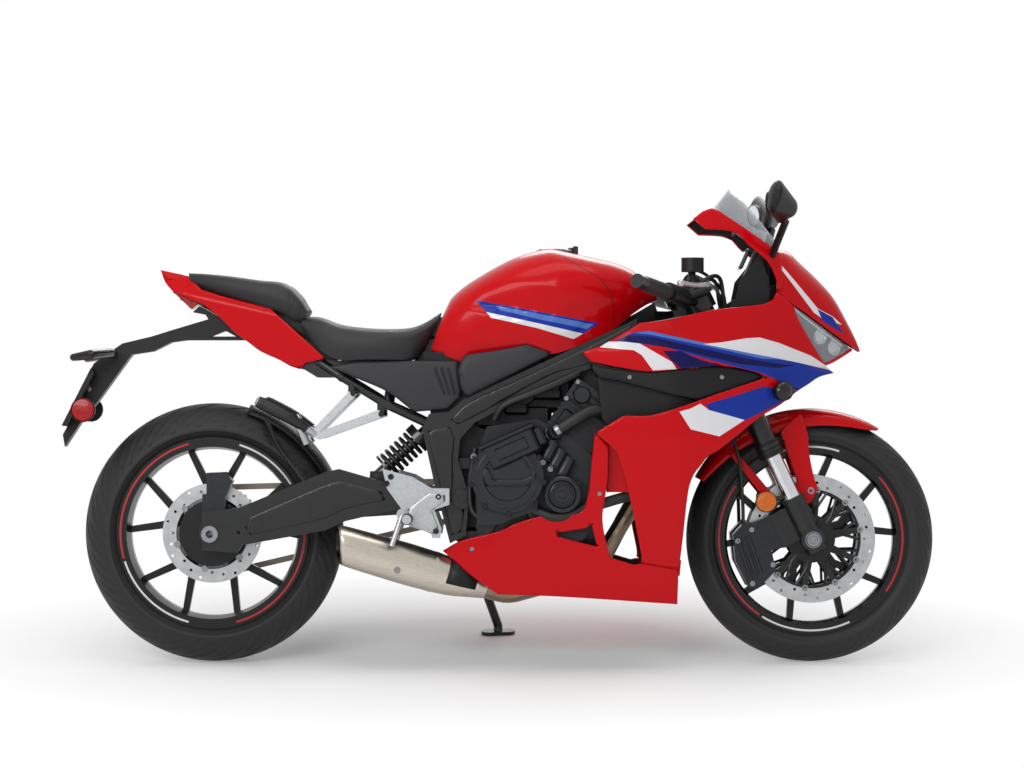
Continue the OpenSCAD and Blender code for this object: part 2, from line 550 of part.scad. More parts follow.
// Nose stations: place along the bike, side edge height, top height, half width
nose_rows = [[636, 893, 1000, 152], [665, 872, 998, 140], [700, 850, 967, 122], [740, 822, 930, 98],
  [780, 795, 886, 72],
  [812, 774, 831, 48], [836, 760, 784, 28], [846, 753, 760, 16]];
function arch(r, t, n) = [for (k = [-n:n]) let (a = 90 * k / n)
  [r[0], (r[3] - t) * sign(a) * pow(abs(sin(a)), 0.6), r[1] + (r[2] - t - r[1]) * pow(cos(a), 0.6)]];
module arch_shell(rows, t, n) loft([for (r = rows)
  concat([for (i = [2 * n:-1:0]) arch(r, 0, n)[i]], arch(r, t, n))], true);
wing_outline = [[433, 1069], [457, 1088], [479, 1096], [493, 1091], [630, 999], [648, 984],
  [648, 900], [635, 898], [633, 926], [612, 968],
  [566, 1007], [546, 1030], [522, 1040], [462, 1044]];
module nose_cowl() color("#c8102e") parked() difference() {
  union() {
    arch_shell(nose_rows, 5, 7);
    both() intersection() {
      slab(-300, 0) polygon(wing_outline);
      skin(425, 655, 880, 1110, 8, 8, skin_t, fairing_form);
    }
    both() cross(636, 915, -148, -108, 8);
    both() rod([650, 108, 915], [616, 20, 908], 8);
  }
  translate([560, -27.3, 850]) cube([130, 54.6, 110]);
}
lens_outline = [[656, 876], [703, 843], [823, 761], [820, 756], [777, 733], [772, 732], [715, 816],
  [680, 858]];
module headlamps() color("#d7dde2") parked() both() {
  intersection() {
    slab(-300, -8) polygon(lens_outline);
    skin(640, 840, 720, 890, 10, 8, 40, function (x, z) fairing_form(x, z) - 8);
  }
  cross(700, 828, -100, -27 - eps, 9);
}
// Screen stations: place along the bike, side edge height, top height, half width
screen_rows = [[498, 1084, 1112, 128], [526, 1064, 1148, 132], [560, 1040, 1118, 136],
  [592, 1018, 1081, 138],
  [620, 1002, 1044, 139], [640, 994, 1016, 139]];
module windscreen() color("#aeb6bd") parked() {
  arch_shell(screen_rows, 3, 7);
  both() for (p = [[548, 1050], [606, 1014]]) difference() {
    rod([p.x, -at([for (r = screen_rows) [r[0], r[3]]], p.x) + 4, p.y], [p.x, -180, p.y - 8], 5);
    skin(p.x - 15, p.x + 15, p.y - 30, p.y + 20, 2, 2, 30 + skin_t + 0.4, function (x, z)
      fairing_form(x, z) + 30);
  }
}
module cockpit() color("#232427") parked() {
  both() slab(116, 120) polygon([[580, 964], [549, 925], [540, 880], [524, 868], [547, 800],
    [596, 790], [620, 870], [618, 930], [596, 985]]);
  slab(-70, 70) polygon([[562, 930], [590, 930], [618, 1000], [594, 1004]]);
  both() cross(600, 880, 27 + eps, 118, 8);
  slab(-12, 12) polygon([[592, 905.9], [610, 910.4], [610, 940], [592, 940]]);
}
stay_outline = [[440, 800], [465, 770], [520, 800], [640, 850], [720, 800], [735, 815], [650, 920],
  [590, 905], [470, 842]];
module front_stay() color("#2a2b2d") parked() difference() {
  slab(-27, 27) polygon(stay_outline);
  fork() translate([-fork_offset, 0, 500]) cylinder(r = 42.2, h = 160);
  slab(-110, 110) polygon([for (p = head_outline) [p.x, p.y]]);
}
module front_indicators() color("#d9822b") parked() both() difference() {
  rod([641, -fairing_form(641, 657) + 6, 657], [652, -fairing_form(641, 657) - 20, 657], 23);
  skin(600, 690, 610, 710, 3, 3, 30, function (x, z) fairing_form(x, z) + 0.4);
}
module mirrors() color("#26272a") parked() both() {
  difference() {
    rod([622, -140, 977], [650, -245, 1060], 9);
    skin(590, 660, 940, 1030, 3, 3, 40, function (x, z) fairing_form(x, z) + 0.4);
  }
  hull() {
    translate([640, -240, 1085]) rotate([0, 12, 8]) scale([0.45, 1, 1]) sphere(r = 30, $fn = 24);
    translate([618, -365, 1112]) rotate([0, 12, 8]) scale([0.45, 1, 1]) sphere(r = 40, $fn = 24);
    translate([655, -320, 1090]) scale([0.6, 1, 0.8]) sphere(r = 30, $fn = 24);
  }
}

// Footrests and hangers

bracket_outline = [[-310, 471], [-239, 452], [-191, 424], [-150, 424], [-150, 385], [-186, 373],
  [-169, 328], [-172, 305],
  [-191, 306], [-193, 318], [-246, 333], [-258, 366], [-299, 423]];
spacer_outline = [[-198, 424], [-150, 424], [-150, 385], [-186, 378]];
module footrests() color("#a9acaf") parked() both() {
  slab(-178, -165) polygon(bracket_outline);
  slab(-166, -spar_out - eps) polygon(spacer_outline);
  cross(-250, 352, -262, -176, 11);
  rod([-262, -184, 362], [-288, -194, 286], 7);
  cross(-262, 362, -191, -176, 14);
}
module passenger_hangers() color("#a9acaf") parked() both() difference() {
  union() {
    slab(-132, -120) polygon([[-392, 656], [-372, 650], [-462, 560], [-320, 612], [-306, 596],
      [-462, 540], [-484, 548], [-482, 562]]);
    rod([-474, -126, 553], [-540, -150, 596], 9);
    rod([-540, -150, 596], [-612, -150, 633], 13);
  }
}

// Chain and rear brake

function tangent_angle(r1, r2, d) = asin((r2 - r1) / d);
module chain_band(grow) {
  d = norm([drive_x - rear_x, drive_z - rear_z]);
  tilt = atan2(drive_z - rear_z, drive_x - rear_x);
  g = tangent_angle(drive_r, sprocket_r, d);
  translate([rear_x, rear_z]) rotate(tilt) polygon(concat(
    [for (k = [0:40]) let (a = 90 - g + (180 + 2 * g) * k / 40) (sprocket_r + grow) * [cos(a), sin(a)]],
    [for (k = [0:20]) let (a = 270 + g + (180 - 2 * g) * k / 20) [d,
      0] + (drive_r + grow) * [cos(a), sin(a)]]));
}
module drive_chain() color("#77736a") parked() {
  d = norm([drive_x - rear_x, drive_z - rear_z]);
  tilt = atan2(drive_z - rear_z, drive_x - rear_x);
  g = tangent_angle(drive_r, sprocket_r, d);
  run = sqrt(d * d - pow(sprocket_r - drive_r, 2));
  for (y = [chain_y - 6.3, chain_y + 4.3]) slab(y, y + 2) difference() { chain_band(7); chain_band(-7); }
  for (s = [-1, 1]) for (k = [4:floor(run / chain_pitch) - 3]) let (
    p = sprocket_r * [sin(g), s * cos(g)] + (k * chain_pitch) * [cos(g), -s * sin(g)],
    c = [rear_x + p.x * cos(tilt) - p.y * sin(tilt), rear_z + p.x * sin(tilt) + p.y * cos(tilt)])
    cross(c.x, c.y, chain_y - 5, chain_y + 5, 5);
}
module rear_caliper() color("#232427") parked() difference() {
  union() {
    slab(-126, -62) polygon([[-735, 408], [-690, 402], [-672, 440], [-690, 462], [-735, 460]]);
    slab(-127.8, -114) polygon([[-745, 330], [-745, 410], [-690, 404], [-690, 330], [-705, 290],
      [-745, 290]]);
  }
  cross(rear_x, rear_z, -84.5, -70.5, rear_disc_r + 8);
  cross(rear_x, rear_z, -140, -60, axle_r + 0.05);
  cross(rear_x, rear_z, -113.9, -60, 30);
}

// Steered parts

module steering_yokes() color("#2b2c2e") parked() fork() difference() {
  union() {
    for (z = [480, 656]) translate([0, 0, z]) linear_extrude(z < 500 ? 40 : 24) difference() {
      union() {
        for (s = [-1, 1]) translate([0, s * leg_y]) circle(r = outer_tube_r + 12);
        polygon([[-70, -34], [-70, 34], [-20, leg_y], [24, leg_y], [16, 0], [24, -leg_y],
          [-20, -leg_y]]);
      }
      for (s = [-1, 1]) translate([0, s * leg_y]) circle(r = outer_tube_r + 0.05);
    }
    translate([-fork_offset, 0, 500]) cylinder(r = 27, h = 170);
    translate([-fork_offset, 0, 680]) cylinder(r = 20, h = 8, $fn = 6);
  }
  translate([-fork_offset, 0, 400]) cylinder(r = 9, h = 400);
}
module fork_outers() color("#1f2022") parked() fork() both() translate([0, leg_y, 0]) difference() {
  union() {
    translate([0, 0, 224]) cylinder(r = outer_tube_r, h = 466);
    translate([0, 0, 222]) cylinder(r = outer_tube_r + 3, h = 30);
    translate([0, 0, 690]) cylinder(r = 18, h = 8);
  }
  translate([0, 0, 200]) cylinder(r = inner_tube_r + 0.1, h = 220);
}
module fork_inners() color("#c9cdd1") parked() fork() both() translate([0, leg_y, 60.1])
  cylinder(r = inner_tube_r, h = 350);
module fork_bottoms() color("#232427") parked() fork() both() difference() {
  union() {
    translate([0, leg_y, -30]) cylinder(r = 27, h = 142);
    translate([0, 80, 0]) rotate([-90, 0, 0]) cylinder(r = 28, h = 50);
    translate([-70, 78, 12]) cube([60, 20, 84]);
  }
  translate([0, leg_y, 60]) cylinder(r = inner_tube_r + 0.05, h = 80);
  rotate([90, 0, 0]) cylinder(r = axle_r + 0.05, h = 400, center = true);
}
module front_axle() color("#8d9094") parked() fork() difference() {
  union() {
    rotate([90, 0, 0]) cylinder(r = axle_r, h = 264, center = true);
    both() translate([0, 66, 0]) rotate([-90, 0, 0]) cylinder(r = 18, h = 11.3);
    both() translate([0, 132.3, 0]) rotate([-90, 0, 0]) cylinder(r = 20, h = 6);
  }
  rotate([90, 0, 0]) cylinder(r = axle_bore_r, h = 400, center = true);
}
caliper_outline = [[-188, -40], [-170, -52], [-110, -30], [-100, 20], [-104, 92], [-128, 108],
  [-168, 92], [-190, 30]];
module front_calipers() color("#232427") parked() fork() both() difference() {
  union() {
    slab(42, 96) polygon(caliper_outline);
    slab(78, 96) polygon([[-130, 20], [-70.2, 14], [-70.2, 94], [-130, 100]]);
  }
  translate([0, 69, 0]) rotate([90, 0, 0]) cylinder(r = front_disc_r + 8, h = 14);
}
// Fender stations round the wheel: angle from straight ahead, half width, depth of its sides
fender_rows = [[58, 30, 8], [64, 58, 22], [80, 68, 38], [100, 70, 46], [120, 70, 44], [140, 66, 34],
  [152, 58, 22]];
function fender_ring(r, t) = [for (k = [-6:6]) let (a = 15 * k,
  y = (r[1] - t) * sign(a) * pow(abs(sin(a)), 0.8), q = front_r + 16 - t + r[2] * (pow(cos(a), 0.7) - 1))
  [q * cos(r[0]), y, q * sin(r[0])]];
module front_fender() color("#c8102e") parked() difference() {
  union() {
    translate([front_x, 0, front_z]) loft([for (r = fender_rows)
      concat(fender_ring(r, 0), [for (i = [12:-1:0]) fender_ring(r, 4)[i]])], true);
    both() slab(-75, -67.5) polygon([[650, 560], [700, 600], [714, 549], [717, 512], [730, 450],
      [739, 423], [720, 385], [696, 423], [660, 520]]);
    both() slab(-75, -67.5) polygon([[712, 425], [662, 425], [662, 382], [716, 382]]);
    both() cross(679, 395, -86, -74, 8);
  }
  fork() both() translate([0, leg_y, -40]) cylinder(r = 27.3, h = 200);
  fork() both() translate([0, leg_y, 219]) cylinder(r = outer_tube_r + 4, h = 160);
}
bar_a = [0, 105, 628];
bar_b = [-113, 365, 730];
function on_bar(s) = bar_a + s * (bar_b - bar_a) / norm(bar_b - bar_a);
bar_len = norm(bar_b - bar_a);
module handlebars() color("#26272a") parked() fork() both() difference() {
  union() {
    rod(on_bar(20), on_bar(bar_len), bar_r);
    rod(on_bar(bar_len - 1), on_bar(bar_len + 34), 17);
    translate([0, leg_y, 612]) cylinder(r = outer_tube_r + 9, h = 43.5);
  }
  translate([0, leg_y, 600]) cylinder(r = outer_tube_r + 0.05, h = 120);
}
module grips() color("#1b1c1e") parked() fork() both() difference() {
  rod(on_bar(bar_len - 128), on_bar(bar_len - 1.2), grip_r);
  rod(on_bar(40), on_bar(bar_len + 10), bar_r + 0.05);
}
module controls() color("#222326") parked() fork() {
  both() difference() {
    union() {
      rod(on_bar(100), on_bar(bar_len - 129), 24);
      rod(on_bar(78), on_bar(100), 18);
      rod(on_bar(90), on_bar(90) + [62, 4, -6], 13);
    }
    rod(on_bar(40), on_bar(bar_len + 10), bar_r + 0.05);
  }
  mirror([0, 1, 0]) {
    rod(on_bar(88) + [30, 0, 0], on_bar(88) + [44, -12, 50], 9);
    translate(on_bar(88) + [46, -14, 48]) rotate([0, rake, 0]) cylinder(r = 27, h = 34);
  }
}
module levers() color("#b9bcc0") parked() fork() both() {
  p = on_bar(90) + [69.3, 4, -7];
  rod(p - [0, 0, 6], p + [0, 0, 6], 6);
  pipe([p, on_bar(130) + [84, 4, -12], on_bar(190) + [72, 0, -20], on_bar(262) + [66, 0, -24]], 6, 10);
  translate(on_bar(262) + [66, 0, -24]) sphere(r = 9);
}

// Wheels

function tyre_half(r, crown, half_w, rim_w) = let (reach = asin(half_w / crown),
  steps = floor(reach / 5))
  concat([for (k = [0:steps]) [r - crown + crown * cos(5 * k), crown * sin(5 * k)]],
    [[r - crown + crown * cos(reach), half_w], [bead_r + 13, rim_w + 3],
      [bead_r + 10.6, rim_w - eps], [bead_r + eps, rim_w - eps],
     [bead_r + eps, rim_w - 9], [bead_r + 14, rim_w - 8]],
    [for (k = [steps:-2:0]) [r - crown + (crown - 11) * cos(5 * k), (crown - 11) * sin(5 * k)]]);
module tyre(r, crown, half_w, rim_w) rotate([90, 0, 0]) rotate_extrude() {
  h = tyre_half(r, crown, half_w, rim_w);
  polygon(concat(h, [for (i = [len(h) - 2:-1:1]) [h[i].x, -h[i].y]]));
}
module rim(rim_w, fork_a, turn, hub_in, hub_out) rotate([90, 0, 0]) difference() {
  union() {
    rotate_extrude() polygon([[208, -rim_w - 4], [bead_r + 10, -rim_w - 4], [bead_r + 10, -rim_w],
      [bead_r, -rim_w],
      [bead_r, rim_w], [bead_r + 10, rim_w], [bead_r + 10, rim_w + 4], [208, rim_w + 4],
        [210, rim_w - 8], [202, 16],
      [202, -16], [210, 8 - rim_w]]);
    translate([0, 0, -hub_out]) cylinder(r = 36, h = hub_in + hub_out);
    translate([0, 0, -13]) linear_extrude(26) for (k = [0:spokes - 1]) rotate(turn + 360 * k / spokes) {
      polygon([[20, -17], [20, 17], [78, 14], [98, 12], [98, -12], [78, -14]]);
      for (s = [-1, 1]) polygon([[74, 0], [82, s * 15],
        [206 * cos(fork_a + 2.4), s * 206 * sin(fork_a + 2.4)],
        [206 * cos(fork_a - 2), s * 206 * sin(fork_a - 2)], [106, s * 6]]);
    }
  }
  cylinder(r = axle_r + 0.06, h = 400, center = true);
}
module ring(r, r_in, t) difference() {
  cylinder(r = r, h = t, center = true);
  cylinder(r = r_in, h = 2 * t, center = true);
}
module disc(r, r_in, hub_r, arms, holes) difference() {
  union() {
    ring(r, r_in, disc_t);
    ring(hub_r + 14, hub_r - 10, disc_t);
    for (k = [0:arms - 1]) rotate(360 * (k + 0.3) / arms) linear_extrude(disc_t - 0.6, center = true)
      polygon([[hub_r, -11], [hub_r, 11], [r_in + 5, 6], [r_in + 5, -6]]);
  }
  for (k = [0:holes - 1]) rotate(360 * k / holes) translate([(r + r_in) / 2 + 8 * (k % 3 - 1), 0, 0])
    cylinder(r = 3.5, h = 20, center = true);
}
module at_front() translate([front_x, 0, front_z]) children();
module at_rear() translate([rear_x, 0, rear_z]) children();
module front_rim() color("#1d1e20") parked() at_front() rim(front_rim_w, front_fork_angle, 22, 57, 57);
module front_tyre() color("#17181a") parked() at_front() tyre(front_r, front_crown, front_half_w,
  front_rim_w);
module front_discs() color("#a6a9ac") parked() at_front() both()
  translate([0, 57.2 + disc_t / 2, 0]) rotate([90, 0, 0]) disc(front_disc_r, 118, 30, 10, 30);
module rear_rim() color("#1d1e20") parked() at_rear() difference() {
  union() {
    rim(rear_rim_w, rear_fork_angle, 16, 75, 96);
    rotate([-90, 0, 0]) translate([0, 0, 60]) cylinder(r = 78, h = 36);
    rotate([-90, 0, 0]) translate([0, 0, 90]) cylinder(r = 28, h = 22);
  }
  rotate([90, 0, 0]) cylinder(r = axle_r + 0.06, h = 400, center = true);
}
module rear_tyre() color("#17181a") parked() at_rear() tyre(rear_r, rear_crown, rear_half_w, rear_rim_w);
module rear_disc() color("#a6a9ac") parked() at_rear()
  translate([0, -75.2 - disc_t / 2, 0]) rotate([90, 0, 0]) disc(rear_disc_r, 86, 36, 6, 24);
module rear_sprocket() color("#5f6164") parked() at_rear() translate([0, chain_y, 0]) rotate([90, 0, 0])
  linear_extrude(7, center = true) difference() {
    polygon([for (k = [0:teeth - 1]) for (q = [[-0.36, -5], [-0.14, 4.5], [0.14, 4.5], [0.36, -5]])
      let (a = 360 * (k + q[0]) / teeth) (sprocket_r + q[1]) * [cos(a), sin(a)]]);
    circle(r = 28.3);
    for (k = [0:4]) rotate(72 * k) translate([60, 0]) circle(r = 17);
  }

// Side stand

stand_pivot = [-105, 150, 262];
stand_down = [0.277, 0.510, -0.814];
stand_turn = [0.0385, 0.841, 0.540];
module stand_axis() rotate([0, acos(stand_turn.z / norm(stand_turn)), atan2(stand_turn.y,
  stand_turn.x)]) children();
foot = stand_pivot + stand_len * stand_down;
foot_z = foot.y * tan(lean) - lift / cos(lean);
module side_stand() color("#2b2c2e") parked() {
  difference() {
    union() {
      translate(stand_pivot) stand_axis() translate([0, 0, 8]) cylinder(r = 17, h = 15);
      rod(stand_pivot + 15 * unit(stand_turn), foot + [0, 0, 14], 11);
    }
    translate(stand_pivot) stand_axis() cylinder(r = 7, h = 60, center = true);
  }
  translate(stand_pivot) stand_axis() translate([0, 0, -40]) cylinder(r = 7, h = 63);
  translate([foot.x, foot.y, foot_z]) rotate([lean, 0, 0]) linear_extrude(9) hull() {
    translate([-22, 0]) circle(r = 20, $fn = 32);
    translate([22, 6]) circle(r = 20, $fn = 32);
  }
  rod([foot.x, foot.y, foot_z + 5], foot + [0, 0, 16], 11);
}

main_frame();
subframe();
swingarm();
rear_axle();
rear_shock();
engine_cases();
cylinder_head();
clutch_cover();
generator_cover();
radiator();
exhaust_headers();
silencer();
fuel_tank();
filler_ring();
knee_panels();
rider_seat();
pillion_seat();
side_panels();
tail_cowl();
tail_lamp();
plate_holder();
rear_indicators();
fairing_right();
fairing_left();
belly_right();
belly_left();
nose_cowl();
headlamps();
windscreen();
cockpit();
front_stay();
front_indicators();
mirrors();
footrests();
passenger_hangers();
drive_chain();
rear_caliper();
steering_yokes();
fork_outers();
fork_inners();
fork_bottoms();
front_axle();
front_calipers();
front_fender();
handlebars();
grips();
controls();
levers();
front_rim();
front_tyre();
front_discs();
rear_rim();
rear_tyre();
rear_disc();
rear_sprocket();
side_stand();
fuel_cap();
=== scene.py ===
"""Looks of a sport motorcycle that leans on its side stand.

Pieces are drawn on the upright bike in millimetres (x forward, y to the rider's left, z up, wheels on
z = 0), as the CAD source draws them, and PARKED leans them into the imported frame, in metres.
"""

import math

import bmesh
import bpy
import numpy as np
from mathutils import Matrix, Vector
from mathutils.bvhtree import BVHTree
from mathutils.geometry import delaunay_2d_cdt


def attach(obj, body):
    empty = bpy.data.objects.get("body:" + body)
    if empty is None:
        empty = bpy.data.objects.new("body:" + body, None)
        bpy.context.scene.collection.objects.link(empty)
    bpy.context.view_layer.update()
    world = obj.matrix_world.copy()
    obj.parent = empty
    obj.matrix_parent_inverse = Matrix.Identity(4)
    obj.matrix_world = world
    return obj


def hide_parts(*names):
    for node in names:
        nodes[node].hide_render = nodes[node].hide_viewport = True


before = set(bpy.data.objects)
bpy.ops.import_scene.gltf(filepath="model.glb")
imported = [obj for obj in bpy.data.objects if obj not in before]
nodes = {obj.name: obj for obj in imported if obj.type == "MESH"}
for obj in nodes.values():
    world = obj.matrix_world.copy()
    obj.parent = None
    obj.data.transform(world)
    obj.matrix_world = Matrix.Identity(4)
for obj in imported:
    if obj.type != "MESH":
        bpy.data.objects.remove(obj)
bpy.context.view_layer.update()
scene = bpy.context.scene

# Stance, as in the CAD source
LEAN = 10.0
SHIFT_X = 35.0
SHIFT_Y = -178.0
REAR_CROWN = 95.0
FRONT_CROWN = 62.0
RAKE = 25.5
FRONT_R = 300.0
REAR_R = 314.0
BEAD_R = 222.0
FRONT_RIM_W = 45.0
REAR_RIM_W = 70.0
HALF_BASE = 1449.0 / 2
LEG_Y = 105.0
DROP = 1 - math.cos(math.radians(LEAN))
LIFT = REAR_CROWN * DROP
FRONT_HUB = Vector((HALF_BASE, 0, FRONT_R - (REAR_CROWN - FRONT_CROWN) * DROP))
REAR_HUB = Vector((-HALF_BASE, 0, REAR_R))
PARKED = (Matrix.Scale(0.001, 4) @ Matrix.Translation((SHIFT_X, SHIFT_Y, LIFT))
          @ Matrix.Rotation(math.radians(-LEAN), 4, "X"))
FORK = Matrix.Translation(FRONT_HUB) @ Matrix.Rotation(math.radians(-RAKE), 4, "Y")


# Materials

COAT_ROUGH = 0.04
GRAIN_DEPTH = 0.0006


def linear(hexa):
    """Linear colour of a written sRGB colour."""
    values = [int(hexa[i:i + 2], 16) / 255 for i in (1, 3, 5)]
    return [v / 12.92 if v < 0.04045 else ((v + 0.055) / 1.055) ** 2.4 for v in values] + [1]


def add(tree, kind, operation=None, **values):
    """A shader node with some of its inputs set."""
    made = tree.nodes.new(f"ShaderNode{kind}")
    if operation:
        made.operation = operation
    for name, value in values.items():
        made.inputs[name.replace("_", " ")].default_value = value
    return made


def finish(name, slot, colour, rough, metal=0.0, coat=0.0, grain=40.0, vary=0.08, bump=0.0,
           brushed=(1, 1, 1), gloss=0.5):
    """A procedural finish: colour and roughness vary with noise, fine grain gives the bump."""
    m = bpy.data.materials.new(name)
    m.use_nodes = True
    tree = m.node_tree
    link = tree.links.new
    shader = tree.nodes["Principled BSDF"]
    place = add(tree, "TexCoord")
    stretch = add(tree, "Mapping", Scale=brushed)
    noise = add(tree, "TexNoise", Scale=grain, Detail=4)
    ramp = add(tree, "ValToRGB")
    for stop, position, share in zip(ramp.color_ramp.elements, (0.3, 0.7), (1 - vary, 1 + vary)):
        stop.position = position
        stop.color = [min(1, c * share) for c in linear(colour)[:3]] + [1]
    spread = add(tree, "MapRange", To_Min=rough * (1 - vary), To_Max=rough * (1 + vary))
    link(place.outputs["Object"], stretch.inputs["Vector"])
    link(stretch.outputs["Vector"], noise.inputs["Vector"])
    link(noise.outputs["Fac"], ramp.inputs["Fac"])
    link(ramp.outputs["Color"], shader.inputs["Base Color"])
    link(noise.outputs["Fac"], spread.inputs["Value"])
    link(spread.outputs["Result"], shader.inputs["Roughness"])
    for socket, value in (("Metallic", metal), ("Coat Weight", coat), ("Coat Roughness", COAT_ROUGH),
                          ("Specular IOR Level", gloss)):
        shader.inputs[socket].default_value = value
    if bump:
        fine = add(tree, "TexNoise", Scale=grain * 12, Detail=3)
        lift = add(tree, "Bump", Strength=bump, Distance=GRAIN_DEPTH)
        link(stretch.outputs["Vector"], fine.inputs["Vector"])
        link(fine.outputs["Fac"], lift.inputs["Height"])
        link(lift.outputs["Normal"], shader.inputs["Normal"])
    return m


def glass(name, slot, colour, rough, alpha):
    """Clear plastic: a thin gloss that lets most light through."""
    m = finish(name, slot, colour, rough, vary=0.03)
    m.node_tree.nodes["Principled BSDF"].inputs["Alpha"].default_value = alpha
    return m


def disc_finish(name, hub, limit):
    """Bare steel on a disc's braking ring and black on the arms inside it."""
    m = finish(name, "disc_steel", "#b9bbbd", 0.28, metal=1.0, grain=50, vary=0.1)
    tree = m.node_tree
    link = tree.links.new
    shader = tree.nodes["Principled BSDF"]
    out = add(tree, "TexCoord").outputs["Object"]
    axle = PARKED.to_quaternion() @ Vector((0, 1, 0))
    for operation, value in (("SUBTRACT", PARKED @ hub), ("CROSS_PRODUCT", axle), ("LENGTH", (0, 0, 0))):
        step = add(tree, "VectorMath", operation)
        step.inputs[1].default_value = value
        link(out, step.inputs[0])
        out = step.outputs["Value" if operation == "LENGTH" else "Vector"]
    ring = add(tree, "Math", "GREATER_THAN")
    ring.inputs[1].default_value = limit * 0.001
    link(out, ring.inputs[0])
    mix = add(tree, "Mix")
    mix.data_type = "RGBA"
    mix.inputs["A"].default_value = linear("#0c0c0e")
    link(ring.outputs[0], mix.inputs["Factor"])
    link(shader.inputs["Base Color"].links[0].from_socket, mix.inputs["B"])
    link(mix.outputs["Result"], shader.inputs["Base Color"])
    link(ring.outputs[0], shader.inputs["Metallic"])
    return m


PAINT = {"coat": 0.14, "grain": 900, "vary": 0.06, "gloss": 0.12}
RED = finish("paint_red", "red_paint", "#c8000c", 0.26, **PAINT)
BLUE = finish("paint_blue", "red_paint", "#15349c", 0.26, **PAINT)
NAVY = finish("paint_navy", "red_paint", "#080a50", 0.26, **PAINT)
WHITE = finish("paint_white", "red_paint", "#e6e6e9", 0.24, coat=0.45, grain=900, vary=0.02)
SKY = finish("paint_sky", "red_paint", "#4a72c4", 0.22, coat=0.45, grain=900, vary=0.05, gloss=0.3)
PLASTIC = finish("plastic_grey", "grey_plastic", "#26262a", 0.46, grain=160, vary=0.1, bump=0.25, gloss=0.4)
BLACK = finish("plastic_black", "black_plastic", "#0c0c0e", 0.42, grain=160, vary=0.12, bump=0.2, gloss=0.3)
SATIN = finish("satin_black", "black_satin", "#131416", 0.32, coat=0.2, grain=60, vary=0.12, bump=0.08,
               gloss=0.4)
RIM = finish("rim_black", "wheel_paint", "#070708", 0.3, coat=0.2, grain=60, vary=0.12, gloss=0.3)
CAST = finish("cast_black", "engine_metal", "#232427", 0.38, metal=0.45, grain=220, vary=0.14, bump=0.35)
COVER = finish("cover_black", "engine_metal", "#2b2c30", 0.3, metal=0.5, grain=120, vary=0.12, bump=0.12)
RUBBER = finish("tyre_rubber", "tyre_rubber", "#151517", 0.6, grain=90, vary=0.16, bump=0.3)
HOSE = finish("hose_rubber", "grip_rubber", "#141416", 0.5, grain=90, vary=0.12, bump=0.1)
VINYL = finish("seat_vinyl", "seat_cover", "#18181b", 0.5, grain=320, vary=0.14, bump=0.5)
FRONT_STEEL = disc_finish("front_disc_steel", FRONT_HUB, 119)
REAR_STEEL = disc_finish("rear_disc_steel", REAR_HUB, 87)
CHROME = finish("fork_chrome", "bright_tube", "#d9dcdf", 0.12, metal=1.0, grain=50, vary=0.05)
ALLOY = finish("bare_alloy", "cast_alloy", "#b4b7ba", 0.36, metal=0.9, grain=150, vary=0.08, bump=0.15)
BRUSHED = finish("silencer_steel", "silencer_steel", "#c9c1b4", 0.3, metal=1.0, grain=26, vary=0.09,
                 brushed=(1, 14, 14))
HEADER = finish("header_steel", "header_steel", "#8b7a68", 0.34, metal=1.0, grain=18, vary=0.22)
ZINC = finish("bolt_zinc", "cast_alloy", "#8f9296", 0.32, metal=1.0, grain=200, vary=0.1)
DARK_BOLT = finish("bolt_black", "engine_metal", "#2f3033", 0.32, metal=0.8, grain=200, vary=0.1)
CHAIN = finish("chain_steel", "chain_steel", "#8a8378", 0.36, metal=1.0, grain=200, vary=0.15)
AMBER = finish("lens_amber", "amber_lens", "#d46a08", 0.22, coat=0.3, grain=260, vary=0.35, bump=0.5,
               gloss=0.3)
SMOKE = finish("lens_smoke", "amber_lens", "#100b08", 0.16, coat=0.35, grain=300, vary=0.1, gloss=0.3)
LENS_RED = finish("lens_red", "tail_lens", "#a5060c", 0.2, coat=0.3, grain=260, vary=0.3, bump=0.4,
                  gloss=0.25)
REFLECTOR = finish("lamp_reflector", "bright_tube", "#cfd3d8", 0.14, metal=1.0, grain=30, vary=0.12)
SCREEN = glass("screen_clear", "screen_clear", "#8f979e", 0.05, 0.38)
LENS = glass("lens_clear", "lamp_lens", "#c9d0d6", 0.04, 0.25)
MIRROR = finish("mirror_glass", "bright_tube", "#d4d8dc", 0.04, metal=1.0, grain=20, vary=0.02)
SCREEN_ON = finish("display_face", "black_plastic", "#10151c", 0.12, coat=1.0, grain=20, vary=0.2)
TAPE_RED = finish("tape_red", "wheel_paint", "#b8141e", 0.4, grain=300, vary=0.05)
TAPE_WHITE = finish("tape_white", "wheel_paint", "#dcdcdc", 0.4, grain=300, vary=0.03)
SPRING = finish("spring_black", "black_satin", "#26272a", 0.3, coat=0.5, grain=90, vary=0.1)


# Mesh helpers

SHARP_ANGLE = 38
BEVEL_ANGLE = 40
SIDES = (("right", False), ("left", True))
SIGNS = (("right", -1), ("left", 1))


def put(name, verts, faces, body, mats, replaces=(), slots=None, smooth=True, mirror=False,
        place=Matrix.Identity(4)):
    """Makes a piece from bike-frame points, leans it into the frame and lets it ride on a body."""
    side = Matrix.Scale(-1, 4, (0, 1, 0)) if mirror else Matrix.Identity(4)
    whole = PARKED @ side @ place
    mesh = bpy.data.meshes.new(name)
    order = [f[::-1] for f in faces] if mirror else faces
    mesh.from_pydata([whole @ Vector(v) for v in verts], [], order)
    for m in mats:
        mesh.materials.append(m)
    if slots is not None:
        mesh.polygons.foreach_set("material_index", slots)
    mesh.update()
    piece = bpy.data.objects.new(name, mesh)
    scene.collection.objects.link(piece)
    if smooth:
        mesh.shade_smooth()
        mesh.set_sharp_from_angle(angle=math.radians(SHARP_ANGLE))
    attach(piece, body)
    if replaces:
        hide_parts(*replaces)
    return piece


